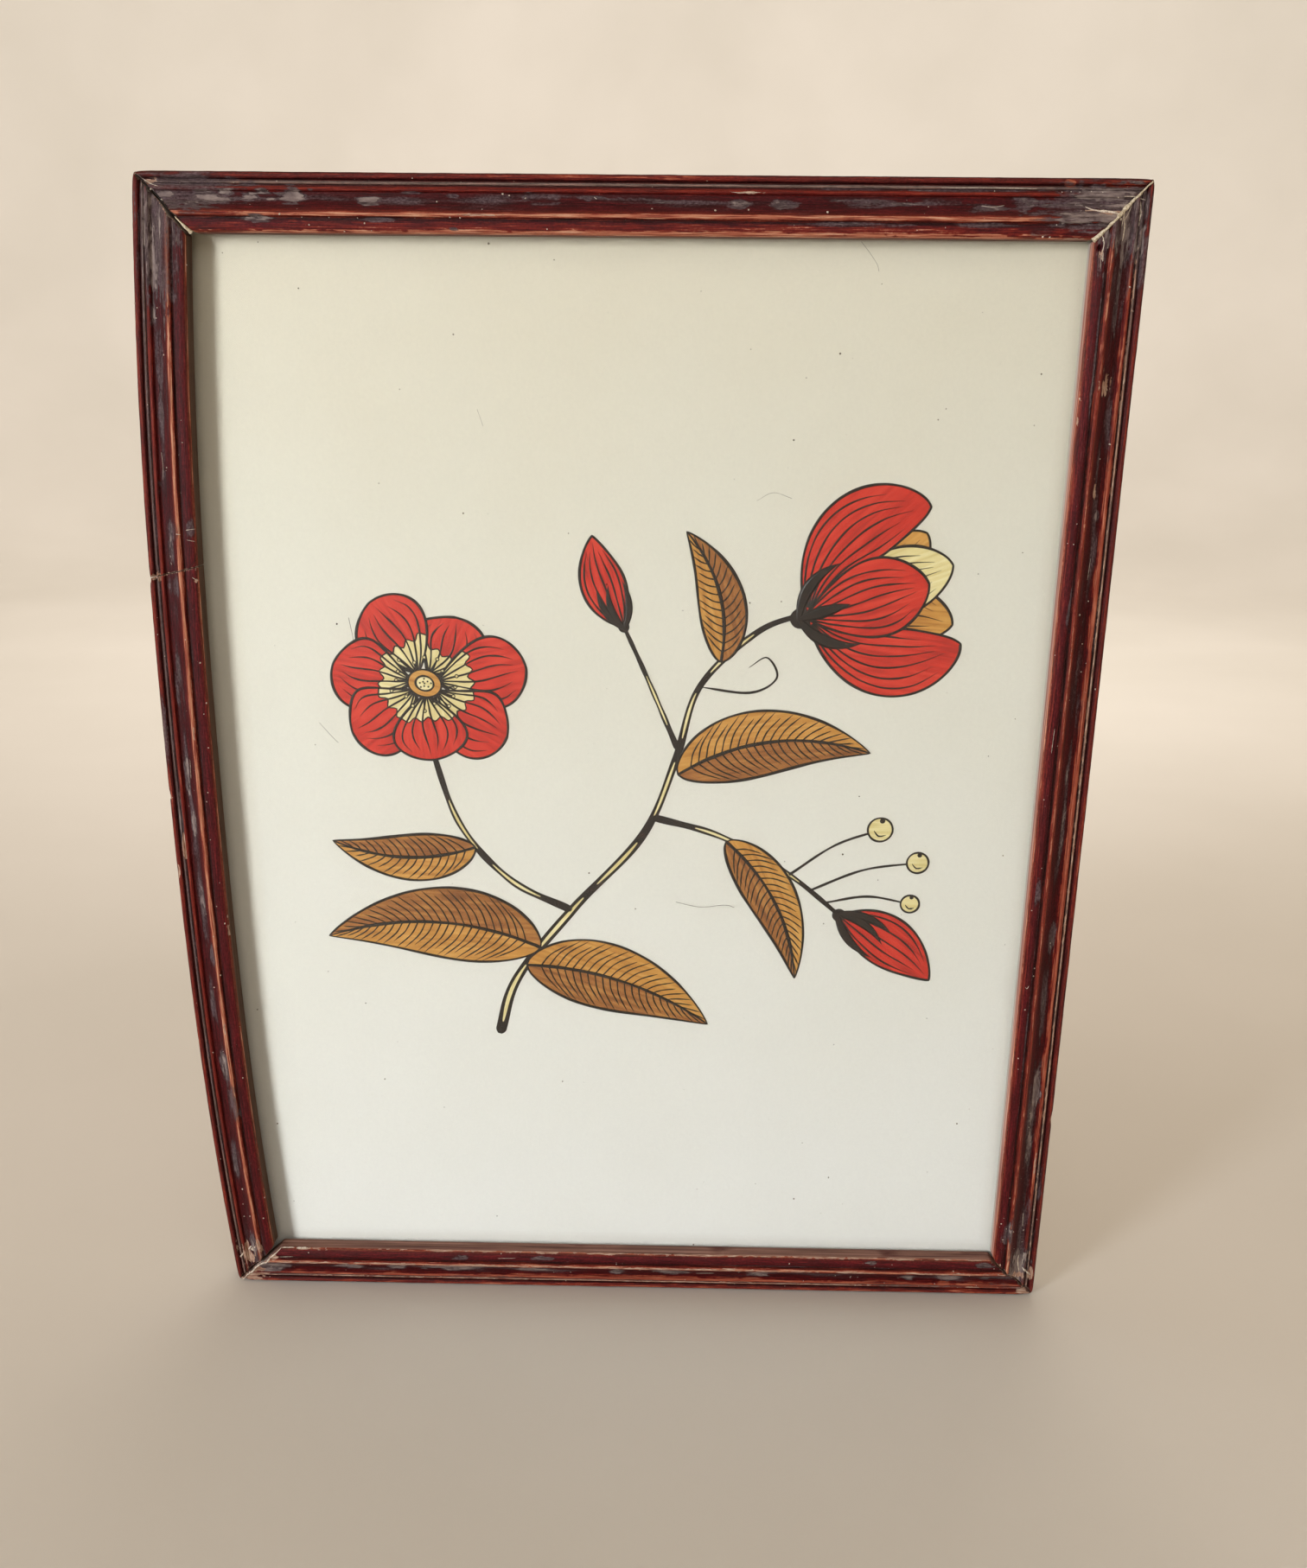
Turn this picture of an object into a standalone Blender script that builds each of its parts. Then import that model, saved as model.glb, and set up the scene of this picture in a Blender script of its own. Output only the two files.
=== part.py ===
# A framed picture painted on the back of glass, as it hangs on a wall.
# Metres, +Z up. The front faces -Y and the wall is on the +Y side.
# The origin is the middle notch of the sawtooth hanger, where the wall's nail sits.

import math

import bmesh
import bpy

# Frame, measured outside
FRAME_WIDTH = 0.357
FRAME_HEIGHT = 0.459
TOP = 0.0085  # top edge above the nail
BOTTOM = TOP - FRAME_HEIGHT
BACK = -0.0021  # plane of the rails' backs, which the hanger stands off from the wall's nail
CLEARANCE = 0.0003  # between pieces that touch

# Moulding: "across" runs from the outer edge to the sight edge, "rise" from the back to the front
RAIL_WIDTH = 0.0205
RAIL_DEPTH = 0.016
OUTER_SIDE = 0.0098
BEAD_RADIUS = 0.00125
FILLET_RADIUS = 0.00055
FILLET_ACROSS = 0.00365
FILLET_RISE = 0.0103
OUTER_RIDGE_RADIUS = 0.0009
OUTER_RIDGE_ACROSS = 0.0057
OUTER_RIDGE_RISE = 0.0111
HOLLOW_START = 0.0067
HOLLOW_LOW = 0.0108
HOLLOW_HIGH = 0.015
HOLLOW_POWER = 1.8
MAIN_RIDGE_RADIUS = 0.0011
MAIN_RIDGE_ACROSS = 0.0141
QUIRK_RISE = 0.0144
SIGHT_BAND_START = 0.0159
SIGHT_BAND_END = 0.0199
SIGHT_BAND_RISE = 0.0149
SIGHT_BAND_CROWN = 0.00045
ARRIS_RISE = 0.0137
REBATE_ACROSS = 0.0105
REBATE_RISE = 0.008

# The left rail has sprung outwards between its corners and has snapped across near the top
BOW = 0.0092
BOW_POWER = 2.4
BOW_PEAK_DROP = 0.225
BOW_STATIONS = 24
CRACK_DROP = 0.1428
CRACK_SLOPE = -0.25

# How far each mitre has opened along either rail
MITRE_OPENING = {"top_left": 0.0004, "top_right": 0.0003, "bottom_right": 0.0006, "bottom_left": 0.0005}

# Stack in the rebate, front to back
PANE_THICKNESS = 0.002
GROUND_THICKNESS = 0.0006
PLANK_THICKNESS = 0.0024
PANE_LEFT = 0.010  # from the frame's left edge, less than elsewhere because the rail bows away
PANE_EDGE = 0.011  # from the other three outer edges
PLANK_INSET = 0.0006
PLANK_CHAMFER = 0.0004
PLANK_SEAM = 0.0006

# Panel pins that hold the planks in
PIN_RADIUS = 0.0006
PIN_HEAD_RADIUS = 0.00085
PIN_HEAD_LENGTH = 0.0006
PIN_GRIP = 0.007  # reach over the planks
PIN_SIDES = 8

# Sawtooth hanger
HANGER_LENGTH = 0.046
HANGER_TOP = 0.0064
HANGER_THICKNESS = 0.0008
HANGER_RAISE = 0.0014
HANGER_RAMP = (0.0128, 0.0160)
TOOTH_PITCH = 0.0026
TOOTH_COUNT = 9
TOOTH_DEPTH = 0.0015
HANGER_NAIL_ACROSS = 0.0195
HANGER_NAIL_RADIUS = 0.0019
HANGER_NAIL_RISE = 0.0007
HANGER_NAIL_SIDES = 16

OXBLOOD = ("5E1A18", 0.42, 0.0)
GLASS = ("E4EBE6", 0.03, 0.0)
PALE_GROUND = ("DBDDCF", 0.6, 0.0)
OLD_PINE = ("8A6A48", 0.8, 0.0)
DULL_STEEL = ("6F6A64", 0.5, 1.0)


def srgb_to_linear(channel):
    if channel <= 0.04045:
        return channel / 12.92
    return ((channel + 0.055) / 1.055) ** 2.4


def make_material(name, finish):
    hex_colour, roughness, metallic = finish
    channels = [int(hex_colour[i : i + 2], 16) / 255 for i in (0, 2, 4)]
    colour = [srgb_to_linear(c) for c in channels] + [1.0]
    material = bpy.data.materials.new(name)
    material.use_nodes = True
    shader = material.node_tree.nodes["Principled BSDF"]
    shader.inputs["Base Color"].default_value = colour
    shader.inputs["Roughness"].default_value = roughness
    shader.inputs["Metallic"].default_value = metallic
    material.diffuse_color = colour
    return material


def add_object(name, mesh, finish, whole, location=(0, 0, 0)):
    mesh.materials.append(make_material(name, finish))
    obj = bpy.data.objects.new(name, mesh)
    obj.location = location
    obj.parent = whole
    bpy.context.collection.objects.link(obj)
    return obj


# ---- moulding section ----


def arc(across, rise, radius, start, end, steps):
    """Points on an arc in the section, its angles in degrees from +across towards +rise."""
    points = []
    for i in range(steps + 1):
        angle = math.radians(start + (end - start) * i / steps)
        points.append((across + radius * math.cos(angle), rise + radius * math.sin(angle)))
    return points


def hollow():
    """The scotia: level at its outer foot and steepest where it meets the main ridge."""
    steps = 8
    width = MAIN_RIDGE_ACROSS - MAIN_RIDGE_RADIUS - HOLLOW_START
    points = []
    for i in range(steps + 1):
        t = i / steps
        rise = HOLLOW_LOW + (HOLLOW_HIGH - HOLLOW_LOW) * t**HOLLOW_POWER
        points.append((HOLLOW_START + width * t, rise))
    return points


def sight_band():
    """The slightly crowned flat beside the picture."""
    steps = 4
    points = []
    for i in range(steps + 1):
        t = i / steps
        across = SIGHT_BAND_START + (SIGHT_BAND_END - SIGHT_BAND_START) * t
        points.append((across, SIGHT_BAND_RISE + SIGHT_BAND_CROWN * (1 - (2 * t - 0.7) ** 2)))
    return points


def section():
    """The whole moulding section as (across, rise), once round."""
    bead_inner = 2 * BEAD_RADIUS
    fillet_foot = FILLET_RISE - 0.0008
    main_ridge_rise = RAIL_DEPTH - MAIN_RIDGE_RADIUS
    main_ridge_inner = MAIN_RIDGE_ACROSS + MAIN_RIDGE_RADIUS
    points = [(0, 0)]
    points += arc(BEAD_RADIUS, OUTER_SIDE, BEAD_RADIUS, 180, 0, 6)
    points += [(bead_inner + 0.0002, fillet_foot)]
    points += [(FILLET_ACROSS - FILLET_RADIUS, fillet_foot)]
    points += arc(FILLET_ACROSS, FILLET_RISE, FILLET_RADIUS, 180, 0, 4)
    points += [(FILLET_ACROSS + FILLET_RADIUS + 0.0002, fillet_foot + 0.0004)]
    points += arc(OUTER_RIDGE_ACROSS, OUTER_RIDGE_RISE, OUTER_RIDGE_RADIUS, 210, -10, 6)
    points += hollow()
    points += arc(MAIN_RIDGE_ACROSS, main_ridge_rise, MAIN_RIDGE_RADIUS, 170, 0, 6)
    points += [(main_ridge_inner + 0.0001, QUIRK_RISE), (SIGHT_BAND_START - 0.0001, QUIRK_RISE)]
    points += sight_band()
    points += [(RAIL_WIDTH, ARRIS_RISE), (RAIL_WIDTH, REBATE_RISE)]
    points += [(REBATE_ACROSS, REBATE_RISE), (REBATE_ACROSS, 0)]
    return points


# ---- rails ----


def bow(drop):
    """How far the left rail stands out at a distance below the frame's top edge."""
    reach = BOW_PEAK_DROP if drop < BOW_PEAK_DROP else FRAME_HEIGHT - BOW_PEAK_DROP
    offset = min(abs(drop - BOW_PEAK_DROP) / reach, 1.0)
    return BOW * (1 - offset**BOW_POWER)


# Each of these takes the distance along the rail, across it and up from its back, and gives the place.


def on_top(along, across, rise):
    return (-FRAME_WIDTH / 2 + along, BACK - rise, TOP - across)


def on_bottom(along, across, rise):
    return (-FRAME_WIDTH / 2 + along, BACK - rise, BOTTOM + across)


def on_right(along, across, rise):
    return (FRAME_WIDTH / 2 - across, BACK - rise, TOP - along)


def on_left(along, across, rise):
    return (-FRAME_WIDTH / 2 + across - bow(along), BACK - rise, TOP - along)


# Each of these gives where a rail starts or ends, at a distance across it.


def mitre_start(corner):
    return lambda across: across + MITRE_OPENING[corner]


def mitre_end(length, corner):
    return lambda across: length - across - MITRE_OPENING[corner]


def crack_edge(shift):
    return lambda across: CRACK_DROP + CRACK_SLOPE * across + shift


def make_rail(name, place, start, end, stations, whole):
    outline = section()
    count = len(outline)
    mesh = bpy.data.meshes.new(name)
    bm = bmesh.new()
    rings = []
    for k in range(stations):
        t = k / (stations - 1)
        ring = []
        for across, rise in outline:
            along = start(across) * (1 - t) + end(across) * t
            ring.append(bm.verts.new(place(along, across, rise)))
        rings.append(ring)
    for near, far in zip(rings, rings[1:]):
        for i in range(count):
            j = (i + 1) % count
            bm.faces.new((near[i], near[j], far[j], far[i]))
    bm.faces.new(rings[0])
    bm.faces.new(rings[-1])
    bmesh.ops.recalc_face_normals(bm, faces=bm.faces)
    bm.to_mesh(mesh)
    bm.free()
    mesh.shade_smooth()
    mesh.set_sharp_from_angle(angle=math.radians(35))
    return add_object(name, mesh, OXBLOOD, whole)


def make_rails(whole):
    top = (mitre_start("top_left"), mitre_end(FRAME_WIDTH, "top_right"))
    bottom = (mitre_start("bottom_left"), mitre_end(FRAME_WIDTH, "bottom_right"))
    right = (mitre_start("top_right"), mitre_end(FRAME_HEIGHT, "bottom_right"))
    upper = (mitre_start("top_left"), crack_edge(-CLEARANCE / 2))
    lower = (crack_edge(CLEARANCE / 2), mitre_end(FRAME_HEIGHT, "bottom_left"))
    upper_stations = round(BOW_STATIONS * CRACK_DROP / FRAME_HEIGHT) + 1
    make_rail("rail_top", on_top, *top, 2, whole)
    make_rail("rail_bottom", on_bottom, *bottom, 2, whole)
    make_rail("rail_right", on_right, *right, 2, whole)
    make_rail("rail_left_upper", on_left, *upper, upper_stations, whole)
    make_rail("rail_left_lower", on_left, *lower, BOW_STATIONS - upper_stations + 2, whole)


# ---- pane, ground and planks ----


def make_slab(name, low, high, finish, whole):
    """A flat slab between two corners, its object at its middle."""
    centre = [(a + b) / 2 for a, b in zip(low, high)]
    size = [b - a for a, b in zip(low, high)]
    mesh = bpy.data.meshes.new(name)
    bm = bmesh.new()
    bmesh.ops.create_cube(bm, size=1.0)
    bmesh.ops.scale(bm, vec=size, verts=bm.verts)
    bm.to_mesh(mesh)
    bm.free()
    return add_object(name, mesh, finish, whole, centre)


def make_stack(whole):
    left = -FRAME_WIDTH / 2 + PANE_LEFT
    right = FRAME_WIDTH / 2 - PANE_EDGE
    low = BOTTOM + PANE_EDGE
    high = TOP - PANE_EDGE
    pane_front = BACK - REBATE_RISE + CLEARANCE
    pane_back = pane_front + PANE_THICKNESS
    ground_front = pane_back + CLEARANCE
    ground_back = ground_front + GROUND_THICKNESS
    plank_front = ground_back + CLEARANCE
    plank_back = plank_front + PLANK_THICKNESS
    make_slab("glass_pane", (left, pane_front, low), (right, pane_back, high), GLASS, whole)
    make_slab("painted_ground", (left, ground_front, low), (right, ground_back, high), PALE_GROUND, whole)

    seam = (left + right) / 2
    sides = {
        "backing_plank_left": (left + PLANK_INSET, seam - PLANK_SEAM / 2),
        "backing_plank_right": (seam + PLANK_SEAM / 2, right - PLANK_INSET),
    }
    for name, (near, far) in sides.items():
        plank_low = (near, plank_front, low + PLANK_INSET)
        plank_high = (far, plank_back, high - PLANK_INSET)
        plank = make_slab(name, plank_low, plank_high, OLD_PINE, whole)
        chamfer = plank.modifiers.new("chamfer", "BEVEL")
        chamfer.width = PLANK_CHAMFER
        chamfer.segments = 1
    return plank_back


# ---- pins, nails and hanger ----


def make_turned(name, rings, sides, whole, location, direction):
    """A turned solid along a unit direction, from rings of (distance, radius), closed at both ends."""
    mesh = bpy.data.meshes.new(name)
    bm = bmesh.new()
    side_x, side_y, side_z = direction
    if abs(side_y) > 0.5:
        first, second = (1, 0, 0), (0, 0, 1)
    else:
        first, second = (0, 1, 0), (-side_z, 0, side_x)
    loops = []
    for distance, radius in rings:
        loop = []
        for i in range(sides):
            angle = 2 * math.pi * (i + 0.5) / sides
            a, b = radius * math.cos(angle), radius * math.sin(angle)
            axis_point = [distance * c for c in direction]
            loop.append(bm.verts.new([p + a * f + b * s for p, f, s in zip(axis_point, first, second)]))
        loops.append(loop)
    for near, far in zip(loops, loops[1:]):
        for i in range(sides):
            j = (i + 1) % sides
            bm.faces.new((near[i], near[j], far[j], far[i]))
    bm.faces.new(loops[0])
    bm.faces.new(loops[-1])
    bmesh.ops.recalc_face_normals(bm, faces=bm.faces)
    bm.to_mesh(mesh)
    bm.free()
    mesh.shade_smooth()
    mesh.set_sharp_from_angle(angle=math.radians(40))
    return add_object(name, mesh, DULL_STEEL, whole, location)


def pin_rings(length):
    shank_end = length - PIN_HEAD_LENGTH
    return [(0, PIN_RADIUS), (shank_end, PIN_RADIUS), (shank_end, PIN_HEAD_RADIUS), (length, PIN_HEAD_RADIUS)]


def make_pins(plank_back, whole):
    """Pins driven sideways into the rebate's wall, lying over the planks' edges."""
    pin_y = plank_back + CLEARANCE + PIN_HEAD_RADIUS
    wall = REBATE_ACROSS + CLEARANCE
    edge = PANE_EDGE + PLANK_INSET
    reach = edge - wall + PIN_GRIP
    for name, x in (("a", -0.094), ("b", 0.088)):
        place = (x, pin_y, TOP - wall)
        make_turned(f"pin_top_{name}", pin_rings(reach), PIN_SIDES, whole, place, (0, 0, -1))
        place = (x + 0.005, pin_y, BOTTOM + wall)
        make_turned(f"pin_bottom_{name}", pin_rings(reach), PIN_SIDES, whole, place, (0, 0, 1))
    for name, drop in (("a", 0.074), ("b", 0.232), ("c", 0.391)):
        place = (FRAME_WIDTH / 2 - wall, pin_y, TOP - drop)
        make_turned(f"pin_right_{name}", pin_rings(reach), PIN_SIDES, whole, place, (-1, 0, 0))
        left_wall = wall - bow(drop)
        left_reach = PANE_LEFT + PLANK_INSET - left_wall + PIN_GRIP
        place = (-FRAME_WIDTH / 2 + left_wall, pin_y, TOP - drop)
        make_turned(f"pin_left_{name}", pin_rings(left_reach), PIN_SIDES, whole, place, (1, 0, 0))


def hanger_columns():
    """Where the hanger's strip is cut across: (x, how far it stands off, its lower edge)."""
    ramp_in, ramp_out = HANGER_RAMP
    plain_edge = -TOOTH_DEPTH / 2
    half = [(HANGER_LENGTH / 2, 0, plain_edge), (ramp_out, 0, plain_edge), (ramp_in, HANGER_RAISE, plain_edge)]
    columns = [(-x, stand, edge) for x, stand, edge in half]
    for i in range(-TOOTH_COUNT, TOOTH_COUNT + 1):
        edge = -TOOTH_DEPTH if i % 2 else 0
        columns.append((i * TOOTH_PITCH / 2, HANGER_RAISE, edge))
    return columns + half[::-1]


def make_hanger(whole):
    """A steel strip with its middle raised from the wood and teeth along its lower edge."""
    mesh = bpy.data.meshes.new("hanger_plate")
    bm = bmesh.new()
    columns = []
    for x, stand, edge in hanger_columns():
        near = BACK + CLEARANCE + stand
        far = near + HANGER_THICKNESS
        corners = ((x, near, HANGER_TOP), (x, near, edge), (x, far, edge), (x, far, HANGER_TOP))
        columns.append([bm.verts.new(corner) for corner in corners])
    for a, b in zip(columns, columns[1:]):
        for i in range(4):
            j = (i + 1) % 4
            bm.faces.new((a[i], a[j], b[j], b[i]))
    bm.faces.new(columns[0])
    bm.faces.new(columns[-1])
    bmesh.ops.recalc_face_normals(bm, faces=bm.faces)
    bm.to_mesh(mesh)
    bm.free()
    add_object("hanger_plate", mesh, DULL_STEEL, whole)

    nail_y = BACK + 2 * CLEARANCE + HANGER_THICKNESS
    radius = HANGER_NAIL_RADIUS
    rise = HANGER_NAIL_RISE
    dome = [(0, radius), (rise * 0.4, radius), (rise * 0.8, radius * 0.75), (rise, radius * 0.4)]
    for name, x in (("left", -HANGER_NAIL_ACROSS), ("right", HANGER_NAIL_ACROSS)):
        place = (x, nail_y, HANGER_TOP / 2)
        make_turned(f"hanger_nail_{name}", dome, HANGER_NAIL_SIDES, whole, place, (0, 1, 0))


def main():
    for obj in list(bpy.data.objects):
        bpy.data.objects.remove(obj, do_unlink=True)
    whole = bpy.data.objects.new("framed_picture", None)
    bpy.context.collection.objects.link(whole)
    make_rails(whole)
    plank_back = make_stack(whole)
    make_pins(plank_back, whole)
    make_hanger(whole)


main()
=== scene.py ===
# Finish of a picture painted on the back of glass, in an old lacquered frame:
# the worn moulding, the pane, the painted sprig, and the planks and ironwork behind it.

import math

import bmesh
import bpy
import numpy as np
from mathutils import Matrix, Vector
from mathutils.geometry import delaunay_2d_cdt


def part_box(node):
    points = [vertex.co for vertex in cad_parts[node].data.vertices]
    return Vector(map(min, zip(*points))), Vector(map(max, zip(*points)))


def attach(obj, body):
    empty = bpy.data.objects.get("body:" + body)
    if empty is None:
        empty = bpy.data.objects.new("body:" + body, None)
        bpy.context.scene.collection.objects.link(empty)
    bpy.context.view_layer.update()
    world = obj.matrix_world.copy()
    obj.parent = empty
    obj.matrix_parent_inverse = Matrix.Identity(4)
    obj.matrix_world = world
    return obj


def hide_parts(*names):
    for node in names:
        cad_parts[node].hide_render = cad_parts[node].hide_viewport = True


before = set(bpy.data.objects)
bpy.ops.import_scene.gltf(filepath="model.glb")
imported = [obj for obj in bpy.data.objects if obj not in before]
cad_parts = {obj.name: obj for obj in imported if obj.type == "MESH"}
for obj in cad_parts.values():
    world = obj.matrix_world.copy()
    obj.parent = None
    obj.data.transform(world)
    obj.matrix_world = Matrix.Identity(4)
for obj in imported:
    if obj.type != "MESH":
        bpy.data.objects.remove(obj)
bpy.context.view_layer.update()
print("frame loaded")


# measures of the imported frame, in metres

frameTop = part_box("rail_top")[1].z
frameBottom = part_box("rail_bottom")[0].z
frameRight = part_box("rail_right")[1].x
frameLeft = -frameRight
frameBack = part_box("rail_top")[1].y
frameWidth = frameRight - frameLeft
frameHeight = frameTop - frameBottom
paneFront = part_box("glass_pane")[0].y
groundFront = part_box("painted_ground")[0].y
sheetMiddle = (frameTop + frameBottom) / 2
mm = 0.001


def linear(hexColour):
    channels = [int(hexColour[i : i + 2], 16) / 255 for i in (0, 2, 4)]
    curved = [c / 12.92 if c <= 0.04045 else ((c + 0.055) / 1.055) ** 2.4 for c in channels]
    return (*curved, 1.0)


def addNode(tree, kind, inputs=None, stops=None, **settings):
    # inputs go to sockets by name or number, as a value or a link; stops are a ramp's (place, hex colour)
    node = tree.nodes.new(kind)
    for name, value in settings.items():
        setattr(node, name, value)
    for socket, value in (inputs or {}).items():
        if isinstance(value, bpy.types.NodeSocket):
            tree.links.new(value, node.inputs[socket])
        else:
            node.inputs[socket].default_value = value
    if stops:
        elements = node.color_ramp.elements
        elements[0].position, elements[0].color = stops[0][0], linear(stops[0][1])
        elements[1].position, elements[1].color = stops[-1][0], linear(stops[-1][1])
        for place, colour in stops[1:-1]:
            elements.new(place).color = linear(colour)
    return node


def newMaterial(name):
    material = bpy.data.materials.new(name)
    material.use_nodes = True
    return material, material.node_tree, material.node_tree.nodes["Principled BSDF"]


def drift(x, y, seed):
    # a smooth random field from -1 to 1 that changes over about one unit of x or y
    side = 128
    lattice = np.random.default_rng(seed).uniform(-1, 1, (side, side))
    column, row = np.floor(x).astype(int), np.floor(y).astype(int)
    right, up = x - column, y - row
    right, up = right * right * (3 - 2 * right), up * up * (3 - 2 * up)
    west, south = column % side, row % side
    east, north = (column + 1) % side, (row + 1) % side
    near = lattice[west, south] * (1 - right) + lattice[east, south] * right
    far = lattice[west, north] * (1 - right) + lattice[east, north] * right
    return near * (1 - up) + far * up


def ease(low, high, value):
    t = np.clip((value - low) / (high - low), 0, 1)
    return t * t * (3 - 2 * t)


# materials of the moulding

grainSizes = {  # mm: how long each noise runs along the rail, and how wide it is
    "streak": (16, 0.6),
    "hair": (4.5, 0.28),
    "flake": (1.2, 0.7),
    "blotch": (24, 4.5),
    "patch": (6, 2.2),
}
lacquerBands = (  # mm from the outer edge, and the lacquer's colour there
    (0.0, "3A1214"), (0.6, "5E1E1C"), (1.3, "742822"), (2.1, "561616"), (2.5, "3C1211"), (3.0, "461812"),
    (3.2, "98867E"), (4.05, "8E7268"), (4.25, "3E1513"), (4.6, "5C1614"), (5.2, "7E281C"), (6.3, "701A16"),
    (6.9, "520E12"), (8.5, "480B11"), (10.5, "4A0D14"), (12.2, "581519"), (12.9, "6C261F"),
    (13.3, "8A3E2E"), (14.9, "7C3226"), (15.2, "34100E"), (15.8, "3E1012"), (16.2, "460A11"),
    (17.4, "580E16"), (18.8, "5E1017"), (19.7, "661A18"), (20.3, "8E563E"),
)
# for each coat: the measure it starts from, the noises that break it up, where it begins, where it is whole
# and how much it then covers, the noise that tints it, and its tints
wornCoats = {
    "soot": (
        "dust", {"blotch": 0.7, "flake": 0.8, "hair": 0.5}, (1.04, 1.56, 0.66), "flake",
        ((0.35, "1E1011"), (0.65, "3C2828")),
    ),
    "veil": (
        "dust", {"blotch": 0.9, "streak": 0.6, "flake": 0.4}, (1.2, 1.7, 0.6), "flake",
        ((0.35, "56444C"), (0.65, "84757A")),
    ),
    "grime": (
        "dust", {"patch": 0.9, "hair": 0.35, "flake": 0.3}, (1.34, 1.5, 0.8), "hair",
        ((0.36, "2A1F20"), (0.5, "4A3D3D"), (0.64, "887876")),
    ),
    "crust": (
        "dust", {"patch": 0.9, "hair": 0.35, "flake": 0.3}, (1.56, 1.7, 0.85), "patch",
        ((0.34, "645655"), (0.5, "877876"), (0.66, "A69892")),
    ),
    "wood": (
        "bare", {"flake": 1.6, "patch": 0.9, "hair": 0.4}, (1.94, 2.06, 1.0), "hair",
        ((0.34, "7A4E3E"), (0.5, "B08A76"), (0.64, "DCC8B4")),
    ),
}


def brokenMask(tree, start, noises, span):
    # a mask that follows one measure and breaks up along the noises
    total = start
    for noise, share in noises:
        terms = {0: noise, 1: share, 2: total}
        total = addNode(tree, "ShaderNodeMath", terms, operation="MULTIPLY_ADD").outputs[0]
    return addNode(
        tree, "ShaderNodeMapRange",
        {"Value": total, "From Min": span[0], "From Max": span[1], "To Max": span[2]},
        interpolation_type="SMOOTHSTEP",
    ).outputs["Result"]


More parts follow.
